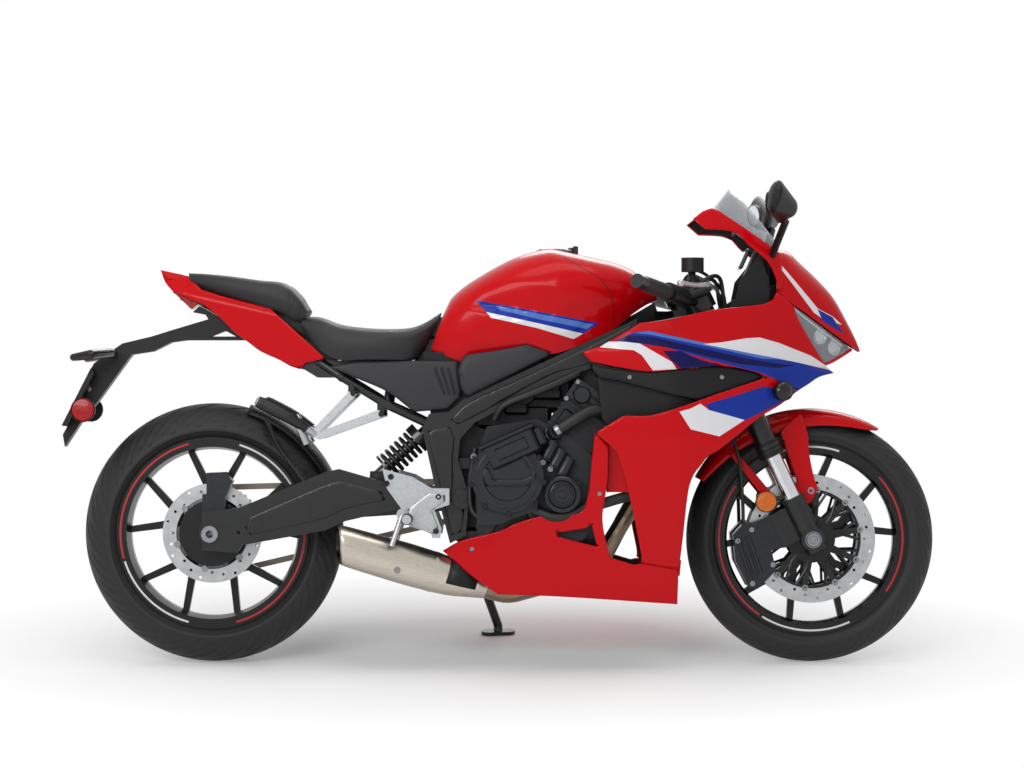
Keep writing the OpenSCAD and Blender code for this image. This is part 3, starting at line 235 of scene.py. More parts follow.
def thicken(piece, mm, inner=None):
    """Gives a skin its wall, with a finish of its own on the inner side if asked."""
    wall = piece.modifiers.new("wall", "SOLIDIFY")
    wall.thickness = mm * 0.001
    wall.offset = -1
    if inner:
        piece.data.materials.append(inner)
        wall.material_offset = len(piece.data.materials) - 1
    return piece


def soften(piece, mm, segments=2):
    """Rounds the sharp edges of a piece."""
    edge = piece.modifiers.new("edges", "BEVEL")
    edge.width = mm * 0.001
    edge.segments = segments
    edge.limit_method = "ANGLE"
    edge.angle_limit = math.radians(BEVEL_ANGLE)
    edge.harden_normals = True
    return piece


def curve_through(rows, steps):
    """A smooth run of rows through the rows of a table."""
    t = np.array(rows, float)
    ends = np.vstack([2 * t[0] - t[1], t, 2 * t[-1] - t[-2]])
    out = []
    for i in range(1, len(ends) - 2):
        a, b, c, d = ends[i - 1:i + 3]
        for k in range(steps):
            u = k / steps
            out.append(0.5 * (2 * b + (c - a) * u + (2 * a - 5 * b + 4 * c - d) * u ** 2
                              + (3 * b - a - 3 * c + d) * u ** 3))
    out.append(t[-1])
    return np.array(out)


def loft(rings, closed=True, caps=True):
    """Points and faces that join rings of points."""
    n = len(rings[0])
    verts = [tuple(p) for r in rings for p in r]
    span = n if closed else n - 1
    faces = [(i * n + j, i * n + (j + 1) % n, (i + 1) * n + (j + 1) % n, (i + 1) * n + j)
             for i in range(len(rings) - 1) for j in range(span)]
    if caps and closed:
        faces += [tuple(range(n))[::-1], tuple(range((len(rings) - 1) * n, len(rings) * n))]
    return verts, faces


def full_turn(n):
    """Angles of n points round a circle."""
    return np.linspace(0, 2 * math.pi, n, endpoint=False)


def tube(points, r, n=14, steps=6, smooth=True):
    """Points and faces of a round tube along points; r is one radius or one for each point."""
    radii = r if isinstance(r, (list, tuple)) else [r] * len(points)
    rows = np.array([[*p, q] for p, q in zip(points, radii)], float)
    path = curve_through(rows, steps) if smooth else rows
    rings = []
    side = Vector((0.03, 1, 0.05))
    for i, row in enumerate(path):
        ahead = Vector(path[min(i + 1, len(path) - 1)][:3]) - Vector(path[max(i - 1, 0)][:3])
        ahead.normalize()
        side = (side - side.dot(ahead) * ahead).normalized()
        up = ahead.cross(side)
        rings.append([Vector(row[:3]) + float(row[3]) * (math.cos(a) * side + math.sin(a) * up)
                      for a in full_turn(n)])
    return loft(rings)


def merge(*parts):
    """Joins several (points, faces) into one."""
    verts, faces = [], []
    for v, f in parts:
        faces += [tuple(i + len(verts) for i in face) for face in f]
        verts += list(v)
    return verts, faces


def turned(profile, n, centre, axis=(0, 1, 0), start=0.0, sweep=360.0):
    """Points and faces of a profile (radius, along) turned about an axis through a centre."""
    spin = Vector((0, 1, 0)).rotation_difference(Vector(axis)).to_matrix()
    full = abs(sweep - 360) < 1e-6
    angles = [math.radians(start + sweep * i / n) for i in range(n if full else n + 1)]
    rings = [[Vector(centre) + spin @ Vector((float(r) * math.cos(a), float(y), float(r) * math.sin(a)))
              for r, y in profile] for a in angles]
    if full:
        rings.append(rings[0])
    return loft(rings, closed=False, caps=False)


def around(hub, r, a, y):
    """A point at a radius and an angle round a hub, seen from the side."""
    return hub.x + r * math.cos(a), y, hub.z + r * math.sin(a)


def lay(name, look, *parts, body="chassis", **rest):
    """A piece of one finish, joined from parts."""
    return put(name, *merge(*parts), body, [look], **rest)


def pair(name, look, *parts):
    """A piece on the bike's right side and its mirror image on the left."""
    for side, mirror in SIDES:
        lay(f"{name}_{side}", look, *parts, mirror=mirror)


def bolt_heads(places, r, h, axis=(0, -1, 0)):
    """Hexagon-socket heads standing on a face at the given places."""
    profile = [(0.01, h * 0.5), (r * 0.42, h * 0.5), (r * 0.46, h), (r * 0.86, h), (r, h * 0.8), (r, 0)]
    return merge(*[turned(profile, 16, p, axis) for p in places])


def block(low, high, chamfer=2.0):
    """A box with chamfered edges between two corners."""
    rings = []
    for z, inset in ((low[2], chamfer), (low[2] + chamfer, 0), (high[2] - chamfer, 0), (high[2], chamfer)):
        x0, x1 = low[0] + inset, high[0] - inset
        y0, y1 = low[1] + inset, high[1] - inset
        c = chamfer
        rings.append([(x0 + c, y0, z), (x1 - c, y0, z), (x1, y0 + c, z), (x1, y1 - c, z), (x1 - c, y1, z),
                      (x0 + c, y1, z), (x0, y1 - c, z), (x0, y0 + c, z)])
    return loft(rings)


# Outlines

def rounded_outline(points, step=9.0, corner=24.0):
    """An outline with smooth runs between its sharp corners."""
    p = np.array(points, float)
    n = len(p)
    before = p - np.roll(p, 1, 0)
    after = np.roll(p, -1, 0) - p
    turn = np.degrees(np.abs(np.arctan2(np.cross(before, after), (before * after).sum(1))))
    out = []
    for i in range(n):
        j = (i + 1) % n
        chord = p[j] - p[i]
        size = np.linalg.norm(chord)
        tangents = []
        for k in (i, j):
            if turn[k] > corner:
                tangents.append(chord)
            else:
                along = before[k] + after[k]
                tangents.append(along / np.linalg.norm(along) * size)
        m = max(1, int(size / step))
        for s in range(m):
            u = s / m
            out.append((2 * u ** 3 - 3 * u ** 2 + 1) * p[i] + (u ** 3 - 2 * u ** 2 + u) * tangents[0]
                       + (3 * u ** 2 - 2 * u ** 3) * p[j] + (u ** 3 - u ** 2) * tangents[1])
    return np.array(out)


def inside(points, outline):
    """Which points lie inside an outline."""
    p = np.asarray(points, float)
    o = np.asarray(outline, float)
    hit = np.zeros(len(p), bool)
    for a, b in zip(o, np.roll(o, -1, 0)):
        over = (a[1] > p[:, 1]) != (b[1] > p[:, 1])
        with np.errstate(divide="ignore", invalid="ignore"):
            cut = (b[0] - a[0]) * (p[:, 1] - a[1]) / (b[1] - a[1]) + a[0]
        hit ^= over & (p[:, 0] < cut)
    return hit


def edge_distance(points, outlines):
    """Distance of each point from the nearest outline."""
    p = np.asarray(points, float)
    best = np.full(len(p), 1e9)
    for o in outlines:
        for a, b in zip(o, np.roll(o, -1, 0)):
            d = b - a
            u = np.clip(((p - a) @ d) / max(d @ d, 1e-9), 0, 1)
            best = np.minimum(best, np.linalg.norm(p - a - u[:, None] * d, axis=1))
    return best


def ease(t):
    """A smooth step from 0 to 1."""
    t = np.clip(t, 0, 1)
    return t * t * (3 - 2 * t)


def panel(outline, form, holes=(), stripes=(), grid=11.0, roll=5.0):
    """A skin in the shape of an outline at the half width form(x, z), edges rolled in, stripes inlaid."""
    rim = rounded_outline(outline)
    cuts = [rounded_outline(h) for h in holes]
    bands = [np.array(s, float) for _, s in stripes]
    loops = [rim, *cuts, *bands]
    verts, edges = [], []
    for loop in loops:
        first = len(verts)
        verts += [Vector(q) for q in loop]
        edges += [(first + i, first + (i + 1) % len(loop)) for i in range(len(loop))]
    low, high = rim.min(0), rim.max(0)
    xs, zs = np.meshgrid(np.arange(low[0], high[0], grid), np.arange(low[1], high[1], grid))
    xs[1::2] += grid / 2
    cloud = np.column_stack([xs.ravel(), zs.ravel()])
    cloud = cloud[inside(cloud, rim)]
    cloud = cloud[edge_distance(cloud, loops) > grid * 0.45]
    for loop in (rim, *cuts):
        ahead = np.roll(loop, -1, 0) - np.roll(loop, 1, 0)
        across = np.column_stack([-ahead[:, 1], ahead[:, 0]]) / np.linalg.norm(ahead, axis=1)[:, None]
        cloud = cloud[edge_distance(cloud, [loop]) > roll * 1.3]
        for share in (0.12, 0.35, 0.7, 1.0):
            for side in (-1, 1):
                ring = loop + side * share * roll * across
                keep = inside(ring, rim) & (edge_distance(ring, loops) > 0.9 * share * roll)
                cloud = np.vstack([cloud, ring[keep]])
    for c in cuts:
        cloud = cloud[~inside(cloud, c)]
    verts += [Vector(q) for q in cloud]
    flat, _, faces, *_ = delaunay_2d_cdt(verts, edges, [], 0, 1e-4)
    flat = np.array([tuple(v) for v in flat])
    faces = [tuple(f) for f in faces]
    middle = np.array([flat[list(f)].mean(0) for f in faces])
    good = inside(middle, rim)
    for c in cuts:
        good &= ~inside(middle, c)
    slots = np.zeros(len(faces), int)
    for index, band in enumerate(bands):
        slots[inside(middle, band)] = stripes[index][0]
    depth = np.clip(edge_distance(flat, [rim, *cuts]) / roll, 0, 1)
    sink = roll * 0.6 * (1 - np.sqrt(1 - (1 - depth) ** 2))
    points = [(x, -(form(x, z) - s), z) for (x, z), s in zip(flat, sink)]
    chosen = [f for f, g in zip(faces, good) if g]
    ring = [f if turn_of(flat, f) > 0 else f[::-1] for f in chosen]
    return points, ring, slots[good].tolist()


def turn_of(flat, face):
    """Sign of a flat triangle's turn."""
    a, b, c = (flat[i] for i in face[:3])
    return (b[0] - a[0]) * (c[1] - a[1]) - (b[1] - a[1]) * (c[0] - a[0])


def skins(name, outline, form, mats, wall, body="chassis", node=(), inner=None, **shape):
    """A panel on the bike's right side and its mirror image on the left."""
    v, f, slots = panel(outline, form, **shape)
    for side, mirror in SIDES:
        replaced = [n.format(side) for n in node]
        thicken(put(f"{name}_{side}", v, f, body, mats, replaced, slots, mirror=mirror), wall, inner)


def paint(piece, stripes):
    """Cuts a piece along stripe outlines seen from the side and gives the faces their colours."""
    bm = bmesh.new()
    bm.from_mesh(piece.data)
    back = PARKED.inverted()
    bm.transform(back)
    for _, outline in stripes:
        for a, b in zip(outline, outline[1:] + outline[:1]):
            normal = Vector((a[1] - b[1], 0, b[0] - a[0]))
            bmesh.ops.bisect_plane(bm, geom=bm.verts[:] + bm.edges[:] + bm.faces[:],
                                   plane_co=Vector((a[0], 0, a[1])), plane_no=normal, dist=1e-4)
    bm.faces.ensure_lookup_table()
    middle = np.array([(f.calc_center_median().x, f.calc_center_median().z) for f in bm.faces])
    for slot, outline in stripes:
        for f, hit in zip(bm.faces, inside(middle, outline)):
            if hit:
                f.material_index = slot
    bm.transform(PARKED)
    bm.to_mesh(piece.data)
    bm.free()
    return piece


# Camera, floor and light

FLOOR_SIZE = 60
CAMERA_OUT = 9500.0
CAMERA_UP = 638.0
CAMERA_LENS = 137
CAMERA_SENSOR = 36
CAMERA_SHIFT = 15 / 1024
camera = bpy.data.objects.new("camera", bpy.data.cameras.new("camera"))
scene.collection.objects.link(camera)
camera.data.lens = CAMERA_LENS
camera.data.sensor_width = CAMERA_SENSOR
camera.data.shift_y = CAMERA_SHIFT
tilt = Matrix.Rotation(math.radians(-LEAN), 4, "X")
camera.matrix_world = (Matrix.Translation(PARKED @ Vector((0, -CAMERA_OUT, CAMERA_UP))) @ tilt
                       @ Matrix.Rotation(math.radians(90), 4, "X"))
scene.camera = camera
scene.view_settings.view_transform = "Standard"


def seen_directly(tree):
    """One for rays that come straight from a viewer, a mirror or glass, else nought."""
    path = add(tree, "LightPath")
    total = path.outputs["Is Camera Ray"]
    for name in ("Is Glossy Ray", "Is Transmission Ray"):
        both = add(tree, "Math", "MAXIMUM")
        tree.links.new(total, both.inputs[0])
        tree.links.new(path.outputs[name], both.inputs[1])
        total = both.outputs[0]
    return total


def mix_shaders(tree, share, first, second, out):
    """Leads a mix of two shaders to an output."""
    mix = add(tree, "MixShader")
    for end, socket in ((share, "Fac"), (first.outputs[0], 1), (second.outputs[0], 2)):
        tree.links.new(end, mix.inputs[socket])
    tree.links.new(mix.outputs[0], out.inputs["Surface"])


def make_floor():
    """A pale floor that keeps the shadow near the bike and fades to white away from it."""
    bpy.ops.mesh.primitive_plane_add(size=FLOOR_SIZE, location=(0, 0, 0))
    floor = bpy.context.object
    floor.name = "floor"
    m = bpy.data.materials.new("floor_pale")
    m.use_nodes = True
    tree = m.node_tree
    link = tree.links.new
    tree.nodes.clear()
    place = add(tree, "TexCoord")
    size = add(tree, "Mapping", Scale=(0.62, 1.1, 1))
    far = add(tree, "VectorMath", "LENGTH")
    fade = add(tree, "MapRange", From_Min=0.3, From_Max=0.9)
    gate = add(tree, "Math", "MULTIPLY")
    link(place.outputs["Object"], size.inputs["Vector"])
    link(size.outputs["Vector"], far.inputs[0])
    link(far.outputs["Value"], fade.inputs["Value"])
    link(fade.outputs["Result"], gate.inputs[0])
    link(seen_directly(tree), gate.inputs[1])
    mix_shaders(tree, gate.outputs[0], add(tree, "BsdfDiffuse", Color=(0.93, 0.93, 0.935, 1)),
                add(tree, "Emission", Strength=1.0), add(tree, "OutputMaterial"))
    floor.data.materials.append(m)


def make_world():
    """Even studio light with a plain white background."""
    world = bpy.data.worlds.new("studio")
    scene.world = world
    world.use_nodes = True
    tree = world.node_tree
    tree.nodes.clear()
    mix_shaders(tree, seen_directly(tree), add(tree, "Background", Strength=0.6),
                add(tree, "Background", Strength=1.0), add(tree, "OutputWorld"))


def lamp(name, place, aim, size, watts):
    """A soft box that looks at a point."""
    data = bpy.data.lights.new(name, "AREA")
    data.shape = "RECTANGLE"
    data.size, data.size_y = size
    data.energy = watts
    light = bpy.data.objects.new(name, data)
    light.location = place
    light.rotation_mode = "QUATERNION"
    light.rotation_quaternion = (Vector(aim) - Vector(place)).to_track_quat("-Z", "Y")
    scene.collection.objects.link(light)


make_floor()
make_world()
lamp("top_box", (0.2, -0.4, 3.6), (0, 0, 0.6), (3.4, 1.6), 34)
lamp("right_box", (-1.7, -3.4, 2.5), (0, 0, 0.55), (2.6, 1.2), 58)
lamp("left_box", (0.8, 3.8, 2.2), (0, 0, 0.55), (2.6, 1.2), 40)


# Bodywork

def nose_share(x):
    """Share of the full width at a place along the bike."""
    return 1 - ((x - 380) / 480) ** 2 if x > 380 else 1 - 0.00033 * (380 - x)


def height_share(z):
    """Share of the full width at a height."""
    return 1 - 0.32 * ((700 - z) / 500) ** 2 if z < 700 else 1 - 0.2 * ((z - 700) / 330) ** 2


def fairing_form(x, z):
    """Half width of the fairing, as in the CAD source."""
    return max(12, 240 * nose_share(x) * height_share(z))


def behind(depth):
    """The fairing's form set back by a depth."""
    return lambda x, z: fairing_form(x, z) - depth


def on_fairing(x, z, depth):
    """A point on the right side, a depth behind the fairing's form."""
    return x, -fairing_form(x, z) + depth, z


UPPER = [(166, 750), (209, 764), (279, 803), (304, 819), (349, 824), (406, 835), (475, 850), (525, 856),
         (605, 866), (626, 877), (635, 897), (677, 861), (691, 825), (761, 715), (779, 701), (741, 691),
         (714, 674), (686, 657), (645, 626), (589, 592), (494, 517), (468, 502), (447, 476), (433, 458),
         (421, 422), (408, 304), (400, 232), (309, 246), (309, 266), (272, 440), (251, 509), (231, 530),
         (214, 543), (198, 557), (264, 598), (338, 601), (494, 652), (609, 690), (578, 703), (504, 716),
         (392, 709), (335, 703), (262, 712), (188, 727)]
# Fairing stripes: colour slot and outline
UPPER_STRIPES = [
    (3, [(209, 761), (228, 775), (275, 775), (304, 770), (380, 726), (392, 709), (335, 706), (309, 742),
         (290, 754)]),
    (1, [(242, 776), (290, 797), (325, 801), (461, 771), (570, 747), (690, 725), (780, 704), (700, 652),
         (620, 690), (600, 699), (545, 712), (470, 731), (410, 748), (365, 761), (304, 770), (270, 774)]),
    (2, [(242, 776), (275, 790), (330, 786), (461, 756), (570, 733), (640, 722), (680, 719), (640, 712),
         (545, 721), (470, 738), (400, 755), (304, 771), (270, 775)]),
    (4, [(290, 795), (325, 800), (461, 771), (570, 747), (640, 733), (600, 734), (461, 764), (325, 792)]),
    (2, [(358, 753), (400, 752), (450, 731), (510, 713), (470, 716), (402, 710), (380, 728)]),
    (3, [(455, 769), (500, 773), (560, 783), (592, 785), (640, 772), (720, 742), (756, 720), (781, 705),
         (690, 725), (570, 747)]),
    (1, [(462, 626), (525, 644), (600, 668), (684, 656), (640, 627), (555, 586), (468, 612)]),
    (3, [(398, 608), (424, 615), (448, 627), (468, 612), (555, 588), (494, 549), (425, 566)]),
]
PANEL_MATS = [RED, BLUE, NAVY, WHITE, SKY]
skins("fairing_skin", UPPER, fairing_form, PANEL_MATS, 3.5, node=["fairing_{}"], inner=BLACK,
      stripes=UPPER_STRIPES)

BELLY = [(-167, 273), (-124, 297), (-29, 323), (7, 340), (60, 356), (91, 361), (122, 362), (159, 364),
         (173, 377), (184, 421), (189, 481), (197, 555), (213, 541), (229, 523), (228, 449), (221, 395),
         (216, 355), (222, 310), (236, 258), (294, 241), (308, 244), (399, 229), (397, 145), (115, 163),
         (-34, 168), (-100, 215)]
BELLY_HOLE = [(107, 318), (177, 329), (190, 340), (203, 285), (115, 307)]
# The left cowl is cut short beside the side stand
BELLY_CUT = -30
BELLY_LEFT_END = -110


def belly_form(x, z):
    """The fairing's form with the lower cowl's crease: behind it the panel turns in."""
    crease = 7 + 0.786 * (z - 340)
    return fairing_form(x, z) - 0.2 * max(0, crease - x)


for side, mirror in SIDES:
    outline = [(max(x, BELLY_CUT), z) for x, z in BELLY if x > BELLY_LEFT_END] if mirror else BELLY
    v, f, s = panel(outline, belly_form, holes=[BELLY_HOLE])
    cowl = put(f"belly_skin_{side}", v, f, "chassis", [RED], [f"belly_{side}"], s, mirror=mirror)
    thicken(cowl, 3.5, BLACK)

# Walls that close the cowl's openings from behind: outline, depth behind the fairing, finish. The black
# hole_shade is painted shade: a dark sheet behind the lower hole, where only shade shows.
BACK_WALLS = [
    ("slot_wall", [(203, 556), (242, 548), (283, 470), (292, 415), (226, 415), (224, 449), (227, 523)], 26,
     RED),
    ("hole_shade", [(92, 326), (180, 342), (198, 352), (216, 272), (104, 298)], 34, BLACK),
    ("seam_back", [(313, 214), (313, 264), (405, 252), (402, 214)], 4.5, RED),
]
for name, outline, deep, look in BACK_WALLS:
    skins(name, outline, behind(deep), [look], 2.5, inner=BLACK, grid=10, roll=2)

WING = [(433, 1069), (457, 1088), (479, 1096), (493, 1091), (630, 999), (648, 984), (648, 900), (635, 898),
        (633, 926), (612, 968), (566, 1007), (546, 1030), (522, 1040), (462, 1044)]
# Nose stations: place along the bike, side edge height, top height, half width
NOSE_ROWS = [(636, 893, 1000, 152), (665, 872, 998, 140), (700, 850, 967, 122), (740, 822, 930, 98),
             (780, 795, 886, 72), (812, 774, 831, 48), (836, 760, 784, 28), (846, 753, 760, 16)]


def arch(row, n, sharp=0.6):
    """Half-round ring of points across the bike for a station."""
    x, edge, top, half = row
    ring = []
    for k in range(-n, n + 1):
        a = math.radians(90 * k / n)
        y = half * math.copysign(abs(math.sin(a)) ** sharp, a)
        ring.append((x, y, edge + (top - edge) * max(0, math.cos(a)) ** sharp))
    return ring


v, f = loft([arch(r, 28) for r in curve_through(NOSE_ROWS, 6)], closed=False)
nose = put("nose_skin", v, [q[::-1] for q in f], "chassis", PANEL_MATS, ["nose_cowl"])
NOSE_STRIPES = [(3, [(632, 968), (640, 968), (738, 856), (775, 838), (800, 818), (756, 828), (728, 846)]),
                (1, [(737, 855), (775, 836), (806, 794), (750, 826)])]
thicken(paint(nose, NOSE_STRIPES), 3.5, BLACK)
skins("screen_wing", WING, fairing_form, [RED], 3.5, inner=BLACK, grid=9, roll=6)

TAIL_WIDTHS = ((-860, -760, -640, -520, -440), (34, 62, 92, 112, 120))


def tail_form(x, z):
    """Half width of the tail, with the crease that runs along its flank."""
    crease = np.interp(x, (-855, -760, -570, -440), (905, 885, 842, 740))
    rise = z - crease
    return float(np.interp(x, *TAIL_WIDTHS)) + 4 - (0.5 * rise if rise > 0 else -0.16 * rise)


TAIL = [(-855, 952), (-784, 936), (-752, 904), (-704, 889), (-582, 857), (-573, 848), (-449, 736),
        (-498, 724), (-511, 710), (-534, 717), (-559, 731), (-609, 754), (-636, 774), (-670, 798),
        (-704, 832), (-752, 869), (-772, 876), (-823, 899), (-843, 922)]
TAIL_END = [(-855, 951), (-800, 940), (-790, 928), (-836, 931)]
v, f, _ = panel(TAIL, tail_form, grid=9)
flanks = [(v, f), ([(x, -y, z) for x, y, z in v], [q[::-1] for q in f])]
end = loft([[(x, y, z) for x, z in TAIL_END] for y in np.linspace(-34, 34, 9)])
thicken(lay("tail_skin", RED, *flanks, end, replaces=["tail_cowl"]), 3.0, BLACK)


# Tank and seats

def body_ring(row, round_up, n):
    """Ring of a rounded body, as in the CAD source, with more points round it."""
    low_x, low_z, top_x, top_z, share, half_low, half_wide = row
    middle = low_z + share * (top_z - low_z)
    half = [(half_low * t, low_z) for t in np.linspace(0, 1, 6)]
    half += [(half_low + (half_wide - half_low) * math.sin(math.pi / 2 * t), low_z + (middle - low_z) * t)
             for t in np.linspace(0, 1, 7)[1:-1]]
    half += [(half_wide * max(0, math.cos(a)) ** round_up,
              middle + (top_z - middle) * math.sin(a) ** round_up) for a in np.linspace(0, math.pi / 2, n)]
    ring = half + [(-y, z) for y, z in half[-2:0:-1]]
    lean_in = (top_x - low_x) / (top_z - low_z)
    return [(low_x + lean_in * (z - low_z), y, z) for y, z in ring]


TANK_ROWS = [(-196, 756, -160, 858, 0.4, 96, 104), (-160, 742, -146, 884, 0.4, 112, 122),
             (-118, 728, -112, 914, 0.45, 124, 138), (-60, 736, -54, 950, 0.5, 130, 152),
             (0, 742, 0, 978, 0.5, 134, 166), (44, 748, 46, 994, 0.5, 138, 174),
             (88, 746, 90, 1002, 0.55, 142, 178), (128, 754, 130, 996, 0.6, 140, 178),
             (190, 780, 194, 982, 0.6, 134, 164), (244, 806, 246, 970, 0.55, 122, 138),
             (290, 842, 290, 952, 0.5, 96, 108), (325, 866, 320, 926, 0.45, 66, 76),
             (352, 878, 350, 896, 0.5, 30, 36)]
# Upper and lower edge of the hollow in the tank's side, and the seam of its front cover
HOLLOW_TOP = [(-116, 872), (-79, 902), (-20, 920), (60, 914), (138, 893), (190, 864), (222, 818)]
HOLLOW_LOW = [(-116, 853), (222, 791)]
HOLLOW_DEEP = 17.0
HOLLOW_FADE = 60
HOLLOW_LEDGE = 0.3
SEAM = [(118, 981), (208, 928), (233, 898), (245, 855), (243, 824)]
v, f = loft([body_ring(r, 0.72, 40) for r in curve_through(TANK_ROWS, 12)])
x, y, z = np.array(v, float).T
top = np.interp(x, *np.array(curve_through(HOLLOW_TOP, 12)).T)
low = np.interp(x, *np.array(HOLLOW_LOW, float).T)
down = np.clip((top - z) / (top - low), 0, 1)
ends = ease((x - HOLLOW_TOP[0][0]) / HOLLOW_FADE) * ease((HOLLOW_TOP[-1][0] - x) / HOLLOW_FADE)
sink = HOLLOW_DEEP * ends * down * ease((1 - down) / HOLLOW_LEDGE)
v = np.column_stack([x, np.sign(y) * np.maximum(abs(y) - sink, 0), z])
tank = put("tank_skin", v, f, "chassis", [RED, BLUE, NAVY, WHITE, SKY, BLACK], ["fuel_tank"])
TANK_STRIPES = [(1, [(-88, 876), (60, 848), (210, 820), (172, 795), (60, 820), (-62, 847)]),
                (4, [(-40, 862), (60, 843), (196, 817), (180, 806), (60, 830), (-30, 852)]),
                (3, [(-62, 847), (60, 820), (170, 795), (148, 782), (60, 808), (-50, 833)]),
                (5, SEAM + [(x + 2.0, z + 0.8) for x, z in SEAM[::-1]])]
paint(tank, TANK_STRIPES)

CAP_X = 105.0
HINGE = Vector((155, 0, 1007.5))
FILLER_RING = [(22, 985), (22, 1000.4), (38, 1001), (44, 1000.6), (47.5, 998), (48, 985)]
rim = [turned(FILLER_RING, 56, (CAP_X, 0, 0), (0, 0, 1))]
rim += [block((148, min(10 * s, 14 * s), 984), (161, max(10 * s, 14 * s), 1009.5), 1.5) for s in (-1, 1)]
lay("filler_rim", SATIN, *rim, replaces=["filler_ring"])
heads = [(CAP_X + 42 * math.cos(a), 42 * math.sin(a), 1000.6) for a in np.radians(60 * np.arange(6) + 30)]
lay("filler_bolts", ZINC, bolt_heads(heads, 3.2, 2, (0, 0, 1)))
LID = [(0.01, 1004), (9, 1004), (11, 1003.2), (26, 1003.2), (30, 1002.6), (36, 1002.2), (37.5, 1001.2),
       (37.5, 1000.8)]
lid = [turned(LID, 48, (CAP_X, 0, 0), (0, 0, 1)), block((136, -8, 1000.8), (157, 8, 1006.5), 2),
       turned([(0.01, -9.6), (3.2, -9.6), (3.2, 9.6), (0.01, 9.6)], 20, HINGE)]
lay("cap_lid", COVER, *lid, body="fuel_cap", replaces=["fuel_cap"])

RIDER_ROWS = [(-512, 812, -500, 838, 0.4, 92, 96), (-470, 762, -462, 836, 0.5, 112, 118),
              (-420, 733, -414, 819, 0.5, 128, 136), (-360, 733, -360, 811, 0.5, 138, 148),
              (-300, 733, -300, 808, 0.5, 138, 150), (-250, 733, -246, 811, 0.5, 126, 138),
              (-225, 742, -210, 824, 0.5, 108, 118), (-206, 760, -172, 848, 0.5, 84, 92)]
PILLION_ROWS = [(-776, 912, -786, 944, 0.4, 30, 44), (-740, 902, -744, 942, 0.5, 52, 66),
                (-680, 884, -682, 936, 0.5, 74, 90), (-610, 864, -610, 926, 0.5, 92, 108),
                (-560, 846, -552, 919, 0.5, 98, 114), (-528, 830, -516, 892, 0.5, 98, 112),
                (-506, 826, -490, 854, 0.5, 94, 102)]
for name, rows, sharp, node in (("rider_cushion", RIDER_ROWS, 0.55, "rider_seat"),
                                ("pillion_cushion", PILLION_ROWS, 0.5, "pillion_seat")):
    v, f = loft([body_ring(r, sharp, 14) for r in curve_through(rows, 7)])
    seat = put(name, v, f, "chassis", [VINYL], [node])

# Dark bases under the seats and the tank: outline and half width
SEAT_BASES = [([(-780, 900), (-700, 868), (-585, 835), (-455, 722), (-420, 736), (-420, 748), (-470, 780),
                (-505, 828), (-530, 850), (-560, 866), (-620, 885), (-740, 925), (-780, 934)],
               ((-800, -640, -440), (26, 60, 80))),
              ([(-224, 756), (-197, 822), (-178, 836), (-156, 836), (-168, 756)], ((-220, -150), (80, 80))),
              ([(60, 742), (128, 760), (176, 780), (300, 846), (345, 872), (352, 850), (330, 815), (200, 764),
                (130, 728), (60, 715)], ((60, 352), (90, 60))),
              ([(-215, 752), (-100, 748), (-96, 640), (-112, 592), (-196, 600)], ((-220, -90), (112, 112)))]
bases = []
for outline, widths in SEAT_BASES:
    bases.append(loft([[(x, t * float(np.interp(x, *widths)), z) for x, z in outline] for t in (-1, 1)]))
lay("seat_base", BLACK, *bases, smooth=False)
rings = []
for r in curve_through(PILLION_ROWS, 20):
    if -545 < r[0] < -517:
        proud = 1.2 + 0.6 * (int(r[0]) % 3 == 0)
        rings.append(body_ring((*r[:3], r[3] + proud, r[4], r[5] + proud, r[6] + proud), 0.5, 14))
lay("seat_strap", HOSE, loft(rings, caps=False))

# Finishes of the CAD nodes that show as they are, with the rounding of each node's edges in millimetres
NODE_LOOKS = [
    (SATIN, {"main_frame": 2.0, "subframe": 1.0, "swingarm": 3.0, "front_stay": 1.5, "steering_yokes": 1.5,
             "fork_outers": 0.8, "fork_bottoms": 1.5, "handlebars": 0.8, "side_stand": 1.0}),
    (BLACK, {"radiator": 0, "plate_holder": 1.5, "cockpit": 1.0, "controls": 1.0, "mirrors": 0}),
    (COVER, {"clutch_cover": 2.0, "generator_cover": 2.0, "rear_caliper": 2.0, "front_calipers": 2.5}),
    (ZINC, {"rear_axle": 0.8, "front_axle": 0.8, "rear_sprocket": 0.6}),
    (ALLOY, {"footrests": 1.5, "passenger_hangers": 1.5, "levers": 0}),
    (CAST, {"engine_cases": 2.5, "cylinder_head": 1.2}),
    (SMOKE, {"rear_indicators": 0, "front_indicators": 1.5}),
    (RIM, {"front_rim": 1.5, "rear_rim": 1.5}),
    (SPRING, {"rear_shock": 0.6}), (HEADER, {"exhaust_headers": 0}), (LENS_RED, {"tail_lamp": 1.0}),
    (CHAIN, {"drive_chain": 0}), (CHROME, {"fork_inners": 0}), (HOSE, {"grips": 0.8}),
    (FRONT_STEEL, {"front_discs": 0}), (REAR_STEEL, {"rear_disc": 0}), (SCREEN, {"windscreen": 0}),
    (LENS, {"headlamps": 0}),
]
for node, look, edge in [(node, look, edge) for look, edges in NODE_LOOKS for node, edge in edges.items()]:
    mesh = nodes[node].data
    mesh.materials.clear()
    mesh.materials.append(look)
    if edge:
        soften(nodes[node], edge)


# Wheels

def tyre_profile(r, crown, half_w, rim_w):
    """Half section of a tyre from its crown to its bead: radius, half width."""
    reach = math.asin(half_w / crown)
    arc = [(r - crown + crown * math.cos(a), crown * math.sin(a)) for a in np.linspace(0, reach, 22)]
    end = arc[-1]
    bead = (BEAD_R + 13, rim_w + 4)
    wall = [(end[0] + (bead[0] - end[0]) * t, end[1] + (bead[1] - end[1]) * t ** 1.7)
            for t in np.linspace(0, 1, 13)[1:]]
    ridges = [(q, y + (0.9 if i in (2, 3, 9) else 0)) for i, (q, y) in enumerate(wall)]
    return arc, ridges + [(BEAD_R + 9, rim_w + 0.5)]


